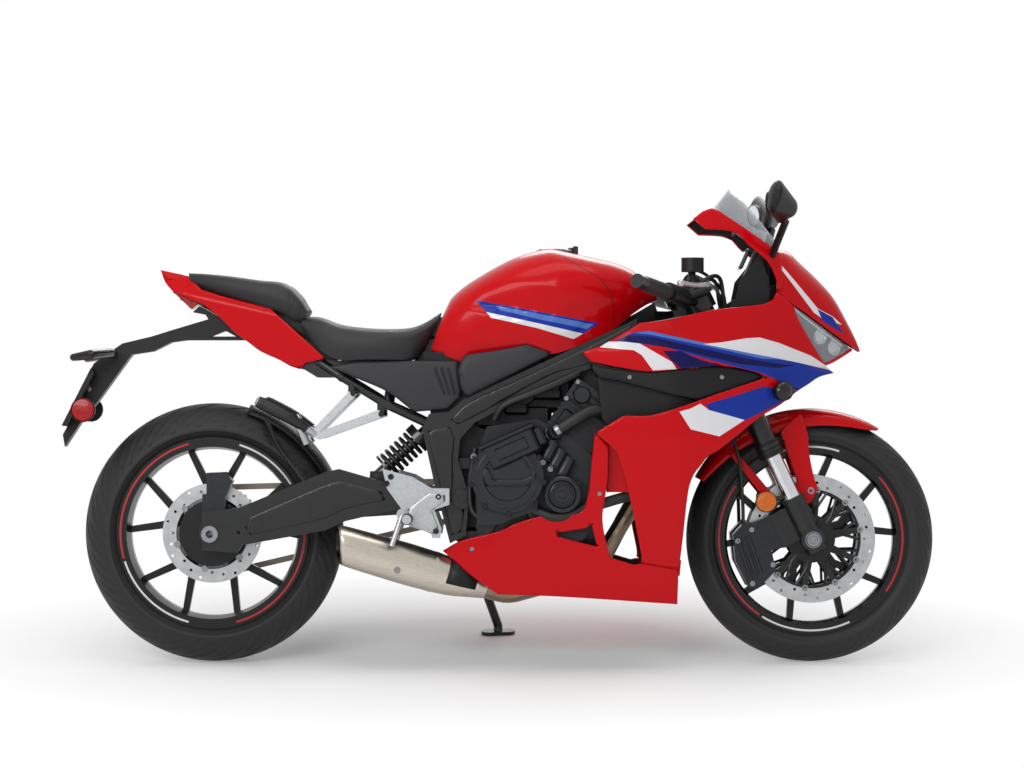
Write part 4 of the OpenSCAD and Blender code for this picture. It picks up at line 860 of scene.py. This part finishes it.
TREAD_UNITS = 26
UNIT_COLUMNS = 14
GROOVE_DEPTH = 3.2
GROOVE_SLANT = 30


def make_tyre(name, node, body, hub, r, crown, half_w, rim_w):
    """A tyre with slanted grooves cut along the lines of its mesh."""
    arc, wall = tyre_profile(r, crown, half_w, rim_w)
    half = arc + wall
    section = [(q, -y) for q, y in half[:0:-1]] + half
    count = len(arc)
    columns = TREAD_UNITS * UNIT_COLUMNS
    rings = []
    for i in range(columns):
        ring = []
        for k, (q, y) in enumerate(section):
            share = min(1.0, abs(y) / half_w)
            step = abs(k - len(section) // 2)
            slant = math.radians(GROOVE_SLANT) * share ** 1.3
            a = 2 * math.pi * i / columns + slant
            phase = (i + (UNIT_COLUMNS // 2 if y > 0 else 0)) % UNIT_COLUMNS
            cut = phase < 2 and 4 < step < count - 2 or phase in (7, 8) and 10 < step < count - 4
            q -= GROOVE_DEPTH if cut else 0
            ring.append(around(hub, q, a, y))
        rings.append(ring)
    rings.append(rings[0])
    v, f = loft(rings, closed=False)
    put(name, v, f, body, [RUBBER], [node])


make_tyre("front_tyre_tread", "front_tyre", "front_wheel", FRONT_HUB, FRONT_R, FRONT_CROWN, 59.0, FRONT_RIM_W)
make_tyre("rear_tyre_tread", "rear_tyre", "rear_wheel", REAR_HUB, REAR_R, REAR_CROWN, 89.0, REAR_RIM_W)

# Rim tape: slot (red or white), first and last angle in degrees
TAPE = [(0, 105, 196), (1, 198, 255), (0, 285, 362), (1, 32, 73)]
TAPE_INNER = 220.5
TAPE_OUTER = 225


def rim_tape(name, body, hub, rim_w, turn):
    """Thin arcs of tape on both flanges of a rim."""
    parts, slots = [], []
    for slot, a, b in TAPE:
        for s in (-1, 1):
            y = s * (rim_w + 4.3)
            part = turned([(TAPE_INNER, y), (TAPE_OUTER, y)], 40, hub, start=a + turn, sweep=b - a)
            parts.append(part)
            slots += [slot] * len(part[1])
    v, f = merge(*parts)
    put(name, v, f, body, [TAPE_RED, TAPE_WHITE], (), slots)


rim_tape("front_rim_tape", "front_wheel", FRONT_HUB, FRONT_RIM_W, 40)
rim_tape("rear_rim_tape", "rear_wheel", REAR_HUB, REAR_RIM_W, 0)


# Brakes

def carrier(name, body, hub, y, out, arms, r_in, r_out, solid):
    """A black carrier of a brake disc, a lattice or a plate, with a floating button at each arm's end."""
    centre = (hub.x, y, hub.z)
    rings = [(r_out - 7, r_in - 9)] if solid else [(r_in + 12, r_in - 9), (r_out + 1, r_out - 6)]
    parts = [turned([(a, 0), (a, 3), (b, 3), (b, 0)], 60, centre, (0, out, 0)) for a, b in rings]
    buttons = []
    for k in range(arms):
        a = 2 * math.pi * (k + 0.3) / arms
        for turn in () if solid else (-0.2, 0.2):
            p = [around(hub, r, a + t, y + out * 0.4)
                 for r, t in ((r_in + 6, 0.0), (r_in + 28, turn * 0.2), (r_out - 2, turn))]
            parts.append(tube(p, 3.4, 8, smooth=False))
        buttons.append(around(hub, r_out + 1, a, y))
    lay(name, RIM, *parts, body=body)
    lay(f"{name}_buttons", ZINC, bolt_heads(buttons, 8, 4.5, (0, out, 0)), body=body)


FRONT_DISC_Y = 61.8
REAR_DISC_Y = -79.8
carrier("disc_carrier_right", "front_wheel", FRONT_HUB, -FRONT_DISC_Y, -1, 10, 46, 119, False)
carrier("disc_carrier_left", "front_wheel", FRONT_HUB, FRONT_DISC_Y, 1, 10, 46, 119, False)
carrier("disc_carrier_rear", "rear_wheel", REAR_HUB, REAR_DISC_Y, -1, 6, 44, 87, True)


def on_fork(x, y, z):
    """A point given in the fork's own frame."""
    return tuple(FORK @ Vector((x, y, z)))


FORK_UP = FORK.to_3x3() @ Vector((0, 0, 1))
BRAKE_LINE = [(-60, 70, 500), (-62, 88, 380), (-74, 96, 260), (-110, 94, 160), (-140, 88, 92)]
for side, s in SIGNS:
    heads = [on_fork(x, s * 96, z) for x, z in ((-176, -34), (-122, 84), (-112, -14), (-164, 74))]
    lay(f"caliper_bolts_{side}", ZINC, bolt_heads(heads, 7, 6, (0, s, 0)), body="steering")
    ribs = []
    for k in range(3):
        run = [(-176 + 15 * k, 97, -30 + 5 * k), (-168 + 14 * k, 99, 30), (-160 + 12 * k, 97, 82 - 4 * k)]
        ribs.append(tube([on_fork(x, s * y, z) for x, y, z in run], 4, 8))
    lay(f"caliper_ribs_{side}", SATIN, *ribs, body="steering")
    spot = Vector((612 + 8 * (1 + s), s * 128, 391 + 2 * (1 + s)))
    lens = turned([(0.01, 4.4), (21, 4.4), (23, 3.4), (24.4, 1), (24.4, -3)], 40, spot, (0, s, 0))
    stay = merge(turned([(24.4, 2), (26, 2), (26, -7), (0.01, -7)], 40, spot, (0, s, 0)),
                 tube([spot - Vector((0, s * 6, 0)), (640, s * 112, 398), (664, s * 108, 402)], 6, 10),
                 tube([(628, s * 74, 394), (640, s * 112, 398)], 5, 10, smooth=False))
    lay(f"fork_reflector_{side}", AMBER, lens, body="steering")
    lay(f"reflector_stay_{side}", SATIN, stay, body="steering")
    line = [on_fork(x, s * y, z) for x, y, z in BRAKE_LINE]
    lay(f"brake_hose_{side}", HOSE, tube(line, 4.5, 10), body="steering")
    cap = turned([(0.01, 4), (9, 4), (10, 7), (16, 7), (18, 3), (18, 0)], 24, on_fork(0, s * 138, 0),
                 (0, s, 0))
    lay(f"axle_cap_{side}", ZINC, cap, body="steering")
    seals = [turned([(26, z), (30.4, z), (30.4, z + 7), (26, z + 7)], 36, on_fork(0, s * LEG_Y, 0), FORK_UP)
             for z in (226, 238, 252)]
    lay(f"fork_seal_{side}", BLACK, *seals, body="steering")

# Fender stations round the wheel: angle from straight ahead, half width, depth of its sides
FENDER_ROWS = [(58, 30, 8), (64, 58, 22), (80, 68, 38), (100, 70, 46), (120, 70, 44), (140, 66, 34),
               (152, 58, 22)]
FENDER_GAP = 16
rings = []
for angle, half, deep in curve_through(FENDER_ROWS, 8):
    ring = []
    for a in np.linspace(-math.pi / 2, math.pi / 2, 33):
        y = half * math.copysign(abs(math.sin(a)) ** 0.8, a)
        q = FRONT_R + FENDER_GAP + deep * (max(0, math.cos(a)) ** 0.7 - 1)
        ring.append(around(FRONT_HUB, q, math.radians(angle), y))
    rings.append(ring)
v, f = loft(rings, closed=False)
thicken(put("fender_skin", v, f, "steering", [RED], ["front_fender"]), 3.0, BLACK)
LEG_PLATE = [(648, 560), (700, 606), (716, 549), (718, 512), (730, 450), (740, 423), (722, 385), (690, 388),
             (668, 400), (690, 440), (664, 510)]
skins("fender_arm", LEG_PLATE, lambda x, z: 79 - 0.02 * max(0, z - 520), [RED], 3, "steering", grid=8, roll=3)
FENDER_LEG = [(524, 506), (542, 513), (638, 398), (620, 386)]
skins("fender_leg", FENDER_LEG, lambda x, z: 80, [RED], 3, "steering", grid=8, roll=3)
heads = [bolt_heads([(722, s * 75, 416)], 9, 6, (0, s, 0)) for s in (-1, 1)]
lay("fender_bolts", ZINC, *heads, body="steering")


# Engine

CRANK = Vector((120, 0, 410))
CLUTCH = Vector((-11, 0, 452))
CRANK_CAP = [(0.01, 6), (9, 6), (10, 3.5), (20, 3.5), (21.5, 7), (25, 7), (26.5, 1), (33, -2), (34.5, 3),
             (40, 3), (43.5, 0), (43.5, -20)]
GENERATOR_CAP = [(0.01, 5), (40, 5), (43, 2), (43, -20)]
CLUTCH_RING = [(56, 3), (58, 6), (66, 6), (70, 2), (75, 0)]
COVER_PLATE = [(-74, 470), (-62, 430), (34, 430), (58, 448), (58, 462), (26, 446), (-44, 446), (-56, 474)]
lay("engine_rings", COVER, turned(CRANK_CAP, 64, (CRANK.x, -199.5, CRANK.z), (0, -1, 0)),
    turned(GENERATOR_CAP, 64, (CRANK.x, 206, CRANK.z), (0, 1, 0)),
    turned(CLUTCH_RING, 72, (CLUTCH.x, -211.5, CLUTCH.z), (0, -1, 0)))
v, f, _ = panel(COVER_PLATE, lambda x, z: 219, grid=8, roll=4)
thicken(lay("cover_plate", CAST, (v, f)), 8)
heads = [around(CLUTCH, 88, a, -204) for a in np.radians(40 * np.arange(9) - 8)]
heads += [around(CRANK, 48, a, -168) for a in np.radians((35, 95, 150, 262, 320))]
lay("cover_bolts", DARK_BOLT, bolt_heads(heads, 6.5, 6))


def tilted(part, x, z, degrees):
    """Turns a part about a cross axis at a place; a positive angle lifts its front."""
    place = Matrix.Translation((x, 0, z))
    turn = place @ Matrix.Rotation(math.radians(-degrees), 4, "Y") @ place.inverted()
    return [turn @ Vector(p) for p in part[0]], part[1]


def engine_side():
    """Starter cover, oil housings and connectors on the right of the engine."""
    box = merge(block((-62, -222, 492), (62, -150, 556), 6), block((-70, -226, 548), (70, -160, 562), 4),
                block((62, -214, 500), (84, -160, 548), 5), block((-40, -226, 508), (40, -220, 538), 3))
    pod = [(0.01, 46), (13, 46), (15, 42), (15, 4), (18, 2), (18, 0)]
    pods = merge(*[turned(pod, 28, (84 + 26 * k, -176, 486 - 8 * k), (0, 0, 1)) for k in range(3)])
    stubs = [turned([(0.01, 20), (16, 20), (18, 16), (18, 8), (21, 6), (21, 0)], 32,
                    (96, -160, 552), (0.4, -0.8, 0.4)),
             turned([(0.01, 12), (22, 12), (26, 8), (26, 0)], 32, (-62, -150, 340), (0, -1, 0)),
             turned([(0.01, 16), (15, 16), (18, 11), (18, 0)], 32, (52, -150, 366), (0, -1, 0))]
    return merge(tilted(box, 8, 520, 24), tilted(pods, 100, 500, -28), *stubs)


lay("engine_side_parts", COVER, engine_side())
# Hoses: radius and path
HOSES = [
    (15, [(104, -170, 560), (150, -176, 588), (196, -168, 610), (250, -150, 606), (330, -150, 612),
          (404, -150, 610)]),
    (9, [(-40, -150, 590), (-20, -164, 622), (40, -168, 648), (100, -160, 672), (160, -140, 700)]),
    (13, [(52, -168, 372), (110, -178, 356), (190, -170, 380), (300, -160, 410), (384, -150, 416)]),
    (7, [(-62, -164, 345), (-96, -158, 372), (-100, -152, 440), (-88, -150, 520)]),
    (15, [(150, 150, 560), (210, 165, 600), (300, 160, 610), (404, 150, 600)]),
    (9, [(-30, 150, 560), (10, 160, 630), (90, 150, 680)]),
]
lay("engine_hoses", HOSE, *[tube(path, r) for r, path in HOSES])
# Clips on them: place and direction
CLIPS = [((110, -171, 564), (0.8, -0.1, 0.5)), ((396, -150, 610), (1, 0, 0)), ((396, 150, 600), (1, 0, 0))]
lay("hose_clips", ZINC, *[turned([(16.4, -5), (16.4, 5)], 28, p, d) for p, d in CLIPS])

BLOCK = Matrix.Translation((120, 0, 520)) @ Matrix.Rotation(math.radians(35), 4, "Y")


def head_side(s):
    """Bolted ribs and plugs on one end of the tilted cylinder head."""
    parts = [block((-58, s * 148 - 5, 104 + 18 * k), (58, s * 148 + 5, 110 + 18 * k), 2) for k in range(3)]
    parts += [turned([(0.01, 9), (18, 9), (21, 5), (21, -4)], 32, (x, s * 148, 132), (0, s, 0))
              for x in (-34, 34)]
    parts += [block((-50, min(s * 141, s * 152), 30), (-8, max(s * 141, s * 152), 84), 4)]
    return merge(*parts)


for side, s in SIGNS:
    lay(f"head_side_{side}", CAST, head_side(s), place=BLOCK)
    heads = [(x, s * 148, z) for x in (-60, 60) for z in (104, 152)]
    lay(f"head_bolts_{side}", ZINC, bolt_heads(heads, 6, 5, (0, s, 0)), place=BLOCK)

inlet = [block((-96, -92, 604), (150, 92, 742), 14), block((-150, -86, 322), (-58, 86, 590), 6),
         block((-92, -96, 566), (96, 96, 626), 10), block((-236, -88, 700), (-150, 88, 792), 10),
         block((150, -96, 640), (262, 96, 760), 14)]
inlet += [turned([(0.01, 30), (24, 30), (27, 24), (27, 0)], 28, (30 + 62 * k, -92, 650 + 26 * k), (0, -1, 0))
          for k in range(2)]
inlet += [block((-20, -118, 600), (40, -92, 640), 6), block((50, -124, 636), (120, -92, 664), 6)]
lay("inlet_bodies", BLACK, *inlet)
plugs = [(x, -150.5, z) for x, z in ((-92, 500), (-74, 392), (-36, 366), (92, 470), (134, 470), (74, 486))]
lay("case_bolts", ZINC, bolt_heads(plugs, 8, 7))


# Dark panels behind the fairing

DUCT = [(185, 722), (303, 706), (398, 714), (493, 719), (590, 705), (606, 690), (552, 664), (446, 634),
        (380, 648), (304, 668), (256, 680), (200, 690)]
skins("duct_panel", DUCT, behind(15), [BLACK], 3, roll=8)
bolts = [on_fairing(x, z, d) for x, z, d in ((280, 690, 15), (500, 690, 15), (209, 412, 1), (-96, 278, 11))]
left_bolts = [(x, -y, z) for x, y, z in bolts[:3]]
lay("panel_bolts", ZINC, bolt_heads(bolts, 5.5, 4), bolt_heads(left_bolts, 5.5, 4, (0, 1, 0)))

INNER = [(200, 724), (300, 700), (480, 712), (600, 694), (560, 660), (440, 610), (300, 570), (240, 560),
         (214, 590)]
FLANK = [(-440, 715), (-360, 729), (-130, 729), (-126, 690), (-120, 648), (-155, 613), (-236, 607),
         (-300, 655), (-380, 690)]
KNEE = [(-122, 734), (-108, 745), (-26, 758), (36, 771), (93, 751), (88, 741), (-108, 641), (-122, 662),
        (-131, 707)]
# Vent slots of the side cover are not cut: they are painted near black on the solid panel, painted shade
# where the open slots would be dark.
VENT_SHADE = [(1, [(-190 + 16 * k, 712), (-182 + 16 * k, 716), (-158 + 12 * k, 650), (-165 + 12 * k, 646)])
         for k in range(3)]
SPAR_RAISED = [(288, 817), (288, 790), (186, 725), (98, 698), (-28, 630), (-95, 594), (-130, 577),
               (-148, 588), (-108, 627), (20, 687), (160, 753)]
PIVOT_RAISED = [(-202, 562), (-198, 535), (-176, 440), (-146, 310), (-122, 318), (-114, 372), (-150, 400),
                (-142, 430), (-142, 491), (-138, 545), (-150, 572)]
GUARD = [(-250, 374), (-198, 414), (-160, 408), (-160, 394), (-192, 372), (-176, 330), (-190, 314),
         (-244, 338)]


def crowned(outline, half, crown):
    """A half width that rises by a crown towards the middle of an outline."""
    low, high = np.min(outline, 0), np.max(outline, 0)

    def form(x, z):
        u, w = ((x, z) - low) / (high - low) * 2 - 1
        return half + crown * (1 - 0.5 * (u * u + w * w))

    return form


# Flat and crowned panels: name, outline, half width, crown, rolled edge, wall, finishes, stripes, CAD node
FLAT_PANELS = [
    ("side_cover", FLANK, 132, 4, 9, 4, [PLASTIC, RIM], VENT_SHADE, ["side_panels"]),
    ("knee_cover", KNEE, 153, 7, 16, 5, [PLASTIC], (), ["knee_panels"]),
    ("spar_face", SPAR_RAISED, 141, 0, 5, 3, [SATIN], (), ()),
    ("pivot_face", PIVOT_RAISED, 141, 0, 5, 3, [SATIN], (), ()),
    ("heel_guard", GUARD, 182, 0, 4, 4, [ALLOY], (), ()),
]
skins("inner_shield", INNER, behind(48), [BLACK], 3, grid=9, roll=6)
for name, outline, half, crown, roll, wall, mats, stripes, node in FLAT_PANELS:
    form = crowned(outline, half, crown)
    skins(name, outline, form, mats, wall, node=node, stripes=stripes, grid=9, roll=roll)

LENS_OUTLINE = [(656, 876), (703, 843), (823, 761), (820, 756), (777, 733), (746, 722), (690, 816),
                (664, 858)]
skins("lamp_lens", LENS_OUTLINE, behind(6), [LENS], 2.5, node=["headlamps"], grid=8, roll=4)
BOWL_DEPTH = 22
skins("lamp_bowl", LENS_OUTLINE, lambda x, z: fairing_form(x, z) - BOWL_DEPTH - 0.1 * abs(z - 800), [SATIN],
      3, grid=8, roll=4)
EYE = [(0.01, 3), (9, 5), (15, 3), (17, 7), (19, 7), (19, -6)]
eyes = [turned(EYE, 32, on_fairing(x, z, 26), (0.5, -0.85, -0.1)) for x, z in ((742, 790), (778, 764))]
strip = tube([on_fairing(676, 858, 18), on_fairing(716, 826, 16), on_fairing(800, 768, 14)], 3.5, 10)
pair("lamp_eyes", REFLECTOR, *eyes, strip)
pair("lamp_lip", RED, tube([on_fairing(x, z, 9) for x, z in ((750, 720), (778, 731), (824, 758))], 4.2, 10))


# Raised faces of the swingarm

RIGHT_ARM = [(-628, 312), (-640, 330), (-628, 356), (-446, 434), (-415, 442), (-312, 416), (-304, 396),
             (-402, 374), (-450, 352)]
LEFT_ARM = [(-628, 304), (-638, 322), (-628, 352), (-404, 400), (-262, 400), (-262, 375), (-402, 363)]
ARM_OUT = 162
ARM_FACES = [("right", False, RIGHT_ARM, ARM_OUT), ("left", True, LEFT_ARM, ARM_OUT - 6)]
for side, mirror, outline, half in ARM_FACES:
    v, f, _ = panel(outline, lambda x, z: half + 3, grid=9, roll=5)
    thicken(lay(f"arm_face_{side}", SATIN, (v, f), mirror=mirror), 3)

PIVOT_CAP = [(0.01, 2.5), (9, 2.5), (10, 1.2), (23.5, 1.2), (24.5, 0), (24.5, -8)]
lay("pivot_caps", SATIN, *[turned(PIVOT_CAP, 40, (-120, 147 * s, 398), (0, s, 0)) for s in (-1, 1)])


# Silencer

SILENCER_BACK = Vector((-418, -150, 290))
SILENCER_FRONT = Vector((-64, -80, 184))
SILENCER_POINTS = 48
# Stations: share of the length, half height, half width
SILENCER_ROWS = [(0.0, 40, 46), (0.03, 46, 52), (0.2, 48.5, 53), (0.5, 50, 54), (0.75, 46, 50), (0.9, 36, 42),
                 (1.0, 28.5, 28.5)]
along = (SILENCER_FRONT - SILENCER_BACK).normalized()
up = along.cross(Vector((0, 1, 0))).normalized()
out = along.cross(up)


def silencer_ring(share, half_h, half_w, n=SILENCER_POINTS, power=0.82):
    """A squarish oval round the silencer's axis; the rear end is cut on the slant."""
    ring = []
    for a in full_turn(n):
        c, s = math.cos(a), math.sin(a)
        h = half_h * math.copysign(abs(c) ** power, c)
        w = half_w * math.copysign(abs(s) ** power, s)
        slant = 0.35 * h * max(0, 1 - share / 0.12)
        place = SILENCER_BACK + float(share) * (SILENCER_FRONT - SILENCER_BACK)
        ring.append(place + float(h) * up + float(w) * out - float(slant) * along)
    return ring


rings = [silencer_ring(*r) for r in curve_through(SILENCER_ROWS, 6)]
mouth = [silencer_ring(*r) for r in ((0.2, 24, 24), (0.06, 27, 27), (0.0, 30, 34), (0.0, 36, 42))]
v, f = loft(mouth + rings, caps=False)
slots = [1 if i < 3 * SILENCER_POINTS else 0 for i in range(len(f))]
put("silencer_body", v, f, "chassis", [BRUSHED, BLACK], ["silencer"], slots)
band = [silencer_ring(0.62 + 0.02 * k, 49 + 0.6 * (k % 2), 53 + 0.6 * (k % 2)) for k in range(3)]
lay("silencer_band", BRUSHED, loft(band, caps=False))
shield = []
for row in ((0.72, 49, 53), (0.82, 44, 49), (0.92, 37, 42)):
    ring = silencer_ring(*row)
    shield.append(ring[40:] + ring[:15])
thicken(lay("silencer_shield", BLACK, loft(shield, closed=False)), 2)
spot = SILENCER_BACK + 0.42 * (SILENCER_FRONT - SILENCER_BACK) - 54 * Vector((0, 1, 0)) - 18 * up
lay("silencer_bolt", ZINC, bolt_heads([spot], 8, 5))


# Tail, mirrors and small parts

PLATE_LENS = (-1036, -92, 612)
lens = turned([(0.01, 5), (18, 4.6), (26, 2.4), (28.5, -2), (28.5, -5)], 44, PLATE_LENS, (0, -1, 0))
stem = turned([(28.6, 1), (30, 1), (30, -8), (12, -8), (12, -70)], 32, PLATE_LENS, (0, -1, 0))
pair("plate_reflector", LENS_RED, lens)
pair("reflector_stem", BLACK, stem)
lights = [tube([(x, -27, z), (x, 0, z - 0.5), (x, 27, z)], 3.2, 10)
          for x, z in ((-831, 915), (-821, 898), (-804, 881))]
lay("tail_light_bars", TAPE_RED, *lights)
hugger = []
for angle in np.linspace(22, 74, 22):
    a = math.radians(angle)
    half = 62 + 16 * math.sin(math.pi * (angle - 22) / 52)
    hugger.append([around(REAR_HUB, REAR_R + 9 - 22 * abs(t) ** 3, a, half * t)
                   for t in np.linspace(-1, 1, 17)])
thicken(lay("rear_hugger", BLACK, loft(hugger, closed=False)), 3)
stays = [tube([(-596, s * 74, 588), (-560, s * 110, 520), (-500, s * 138, 440)], 6, 10) for s in (-1, 1)]
lay("hugger_stays", BLACK, *stays)

housing = nodes["mirrors"].data
shell = BVHTree.FromPolygons([PARKED.inverted() @ v.co for v in housing.vertices],
                             [tuple(q.vertices) for q in housing.polygons])
GLASS_MIDDLE = Vector((0, -304, 1100))
GLASS_LONG = Vector((0, -0.977, 0.211)) * 56
GLASS_SHORT = Vector((0, 0.211, 0.977)) * 25
GLASS_POINTS = 40


def glass_point(q, a):
    """A point of the mirror glass seen from behind, on no depth yet."""
    return GLASS_MIDDLE + q * math.cos(a) * GLASS_LONG + q * math.sin(a) * GLASS_SHORT


hits = [shell.ray_cast(glass_point(q, a) + Vector((400, 0, 0)), Vector((1, 0, 0)))[0]
        for q in (0.05, 0.5, 0.9) for a in full_turn(24)]
hits = np.array([tuple(h) for h in hits if h])
fit = np.linalg.lstsq(np.column_stack([np.ones(len(hits)), hits[:, 1:]]), hits[:, 0], rcond=None)[0]
PROUD = max(fit[0] + hits[:, 1:] @ fit[1:] - hits[:, 0]) + 1.0


def glass_at(q, a):
    """A point on the flat mirror glass that lies just behind its housing."""
    p = glass_point(q, a)
    return float(fit[0] + fit[1] * p.y + fit[2] * p.z - PROUD), p.y, p.z


rings = [[glass_at(q, a) for a in full_turn(GLASS_POINTS)] for q in (0.02, 0.5, 0.93, 0.95, 1.0, 1.06)]
for k, back in ((3, 1.2), (4, 1.0), (5, -14.0)):
    rings[k] = [(x - back, y, z) for x, y, z in rings[k]]
v, f = loft(rings, caps=False)
slots = [0 if i < 2 * GLASS_POINTS else 1 for i in range(len(f))]
for side, mirror in SIDES:
    put(f"mirror_face_{side}", v, f, "chassis", [MIRROR, BLACK], (), slots, mirror=mirror)

SLEEVE = [(-494, -134, 567), (-540, -150, 596), (-602, -150, 628), (-614, -150, 634)]
SLEEVE_RIB = [(14.4, 0), (15.6, 1), (15.6, 4), (14.4, 5)]
ribs = [turned(SLEEVE_RIB, 22, (-552 - 8.9 * k, -150, 602 + 4.6 * k), (-0.89, 0, 0.46)) for k in range(6)]
pair("pillion_peg", HOSE, tube(SLEEVE, [10.5, 14.2, 14.6, 9], 18), *ribs)
pair("peg_bracket", ALLOY, tube([(-530, -138, 600), (-508, -134, 560), (-494, -130, 530)], [5, 7.5, 9], 14))
DOME = [(0.01, 8), (9, 7), (16, 4.4), (21, 0), (23.4, -5), (23.4, -9)]
pair("indicator_dome", SMOKE, turned(DOME, 36, (652, -fairing_form(641, 657) - 20, 657), (0.39, -0.92, 0)))
TREAD = [(11.4, 4), (13.2, 5), (13.2, 10), (11.4, 11)]
treads = [turned([(r, y + 9 * k) for r, y in TREAD], 24, (-250, -186, 352), (0, -1, 0)) for k in range(8)]
pair("peg_rubber", HOSE, *treads)
heads = [(x, -178, z) for x, z in ((-290, 452), (-300, 436), (-176, 404), (-182, 322))]
heads += [(-382, -132, 652), (-314, -132, 602)]
pair("hanger_bolts", DARK_BOLT, bolt_heads(heads, 7, 6))

lay("display_glass", SCREEN_ON, tilted(block((556, -62, 944), (566, 62, 996), 3), 580, 968, -24))

GRIP_RIBS = 11
bar_a, bar_b = Vector((0, 105, 628)), Vector((-113, 365, 730))
bar_dir = (bar_b - bar_a).normalized()
bar_len = (bar_b - bar_a).length
GRIP_RIB = [(17, 4), (18.2, 5), (18.2, 8), (17, 9)]
ribs = [turned(GRIP_RIB, 28, bar_a + (bar_len - 126 + 11 * k) * bar_dir, bar_dir) for k in range(GRIP_RIBS)]
start = bar_a + 96 * bar_dir
cable = tube([start, start + Vector((70, -10, 16)), start + Vector((104, -70, 4)), (52, 104, 600),
              (36, 106, 512)], 5, 10)
loop = tube([start + Vector((20, 4, 22)), start + Vector((60, -26, 44)), (62, 88, 640), (44, 92, 570),
             (34, 94, 512)], 4, 10)
for side, mirror in (("right", True), ("left", False)):
    lay(f"grip_ribs_{side}", HOSE, *ribs, body="steering", mirror=mirror, place=FORK)
    lay(f"bar_cables_{side}", HOSE, cable, loop, body="steering", mirror=mirror, place=FORK)
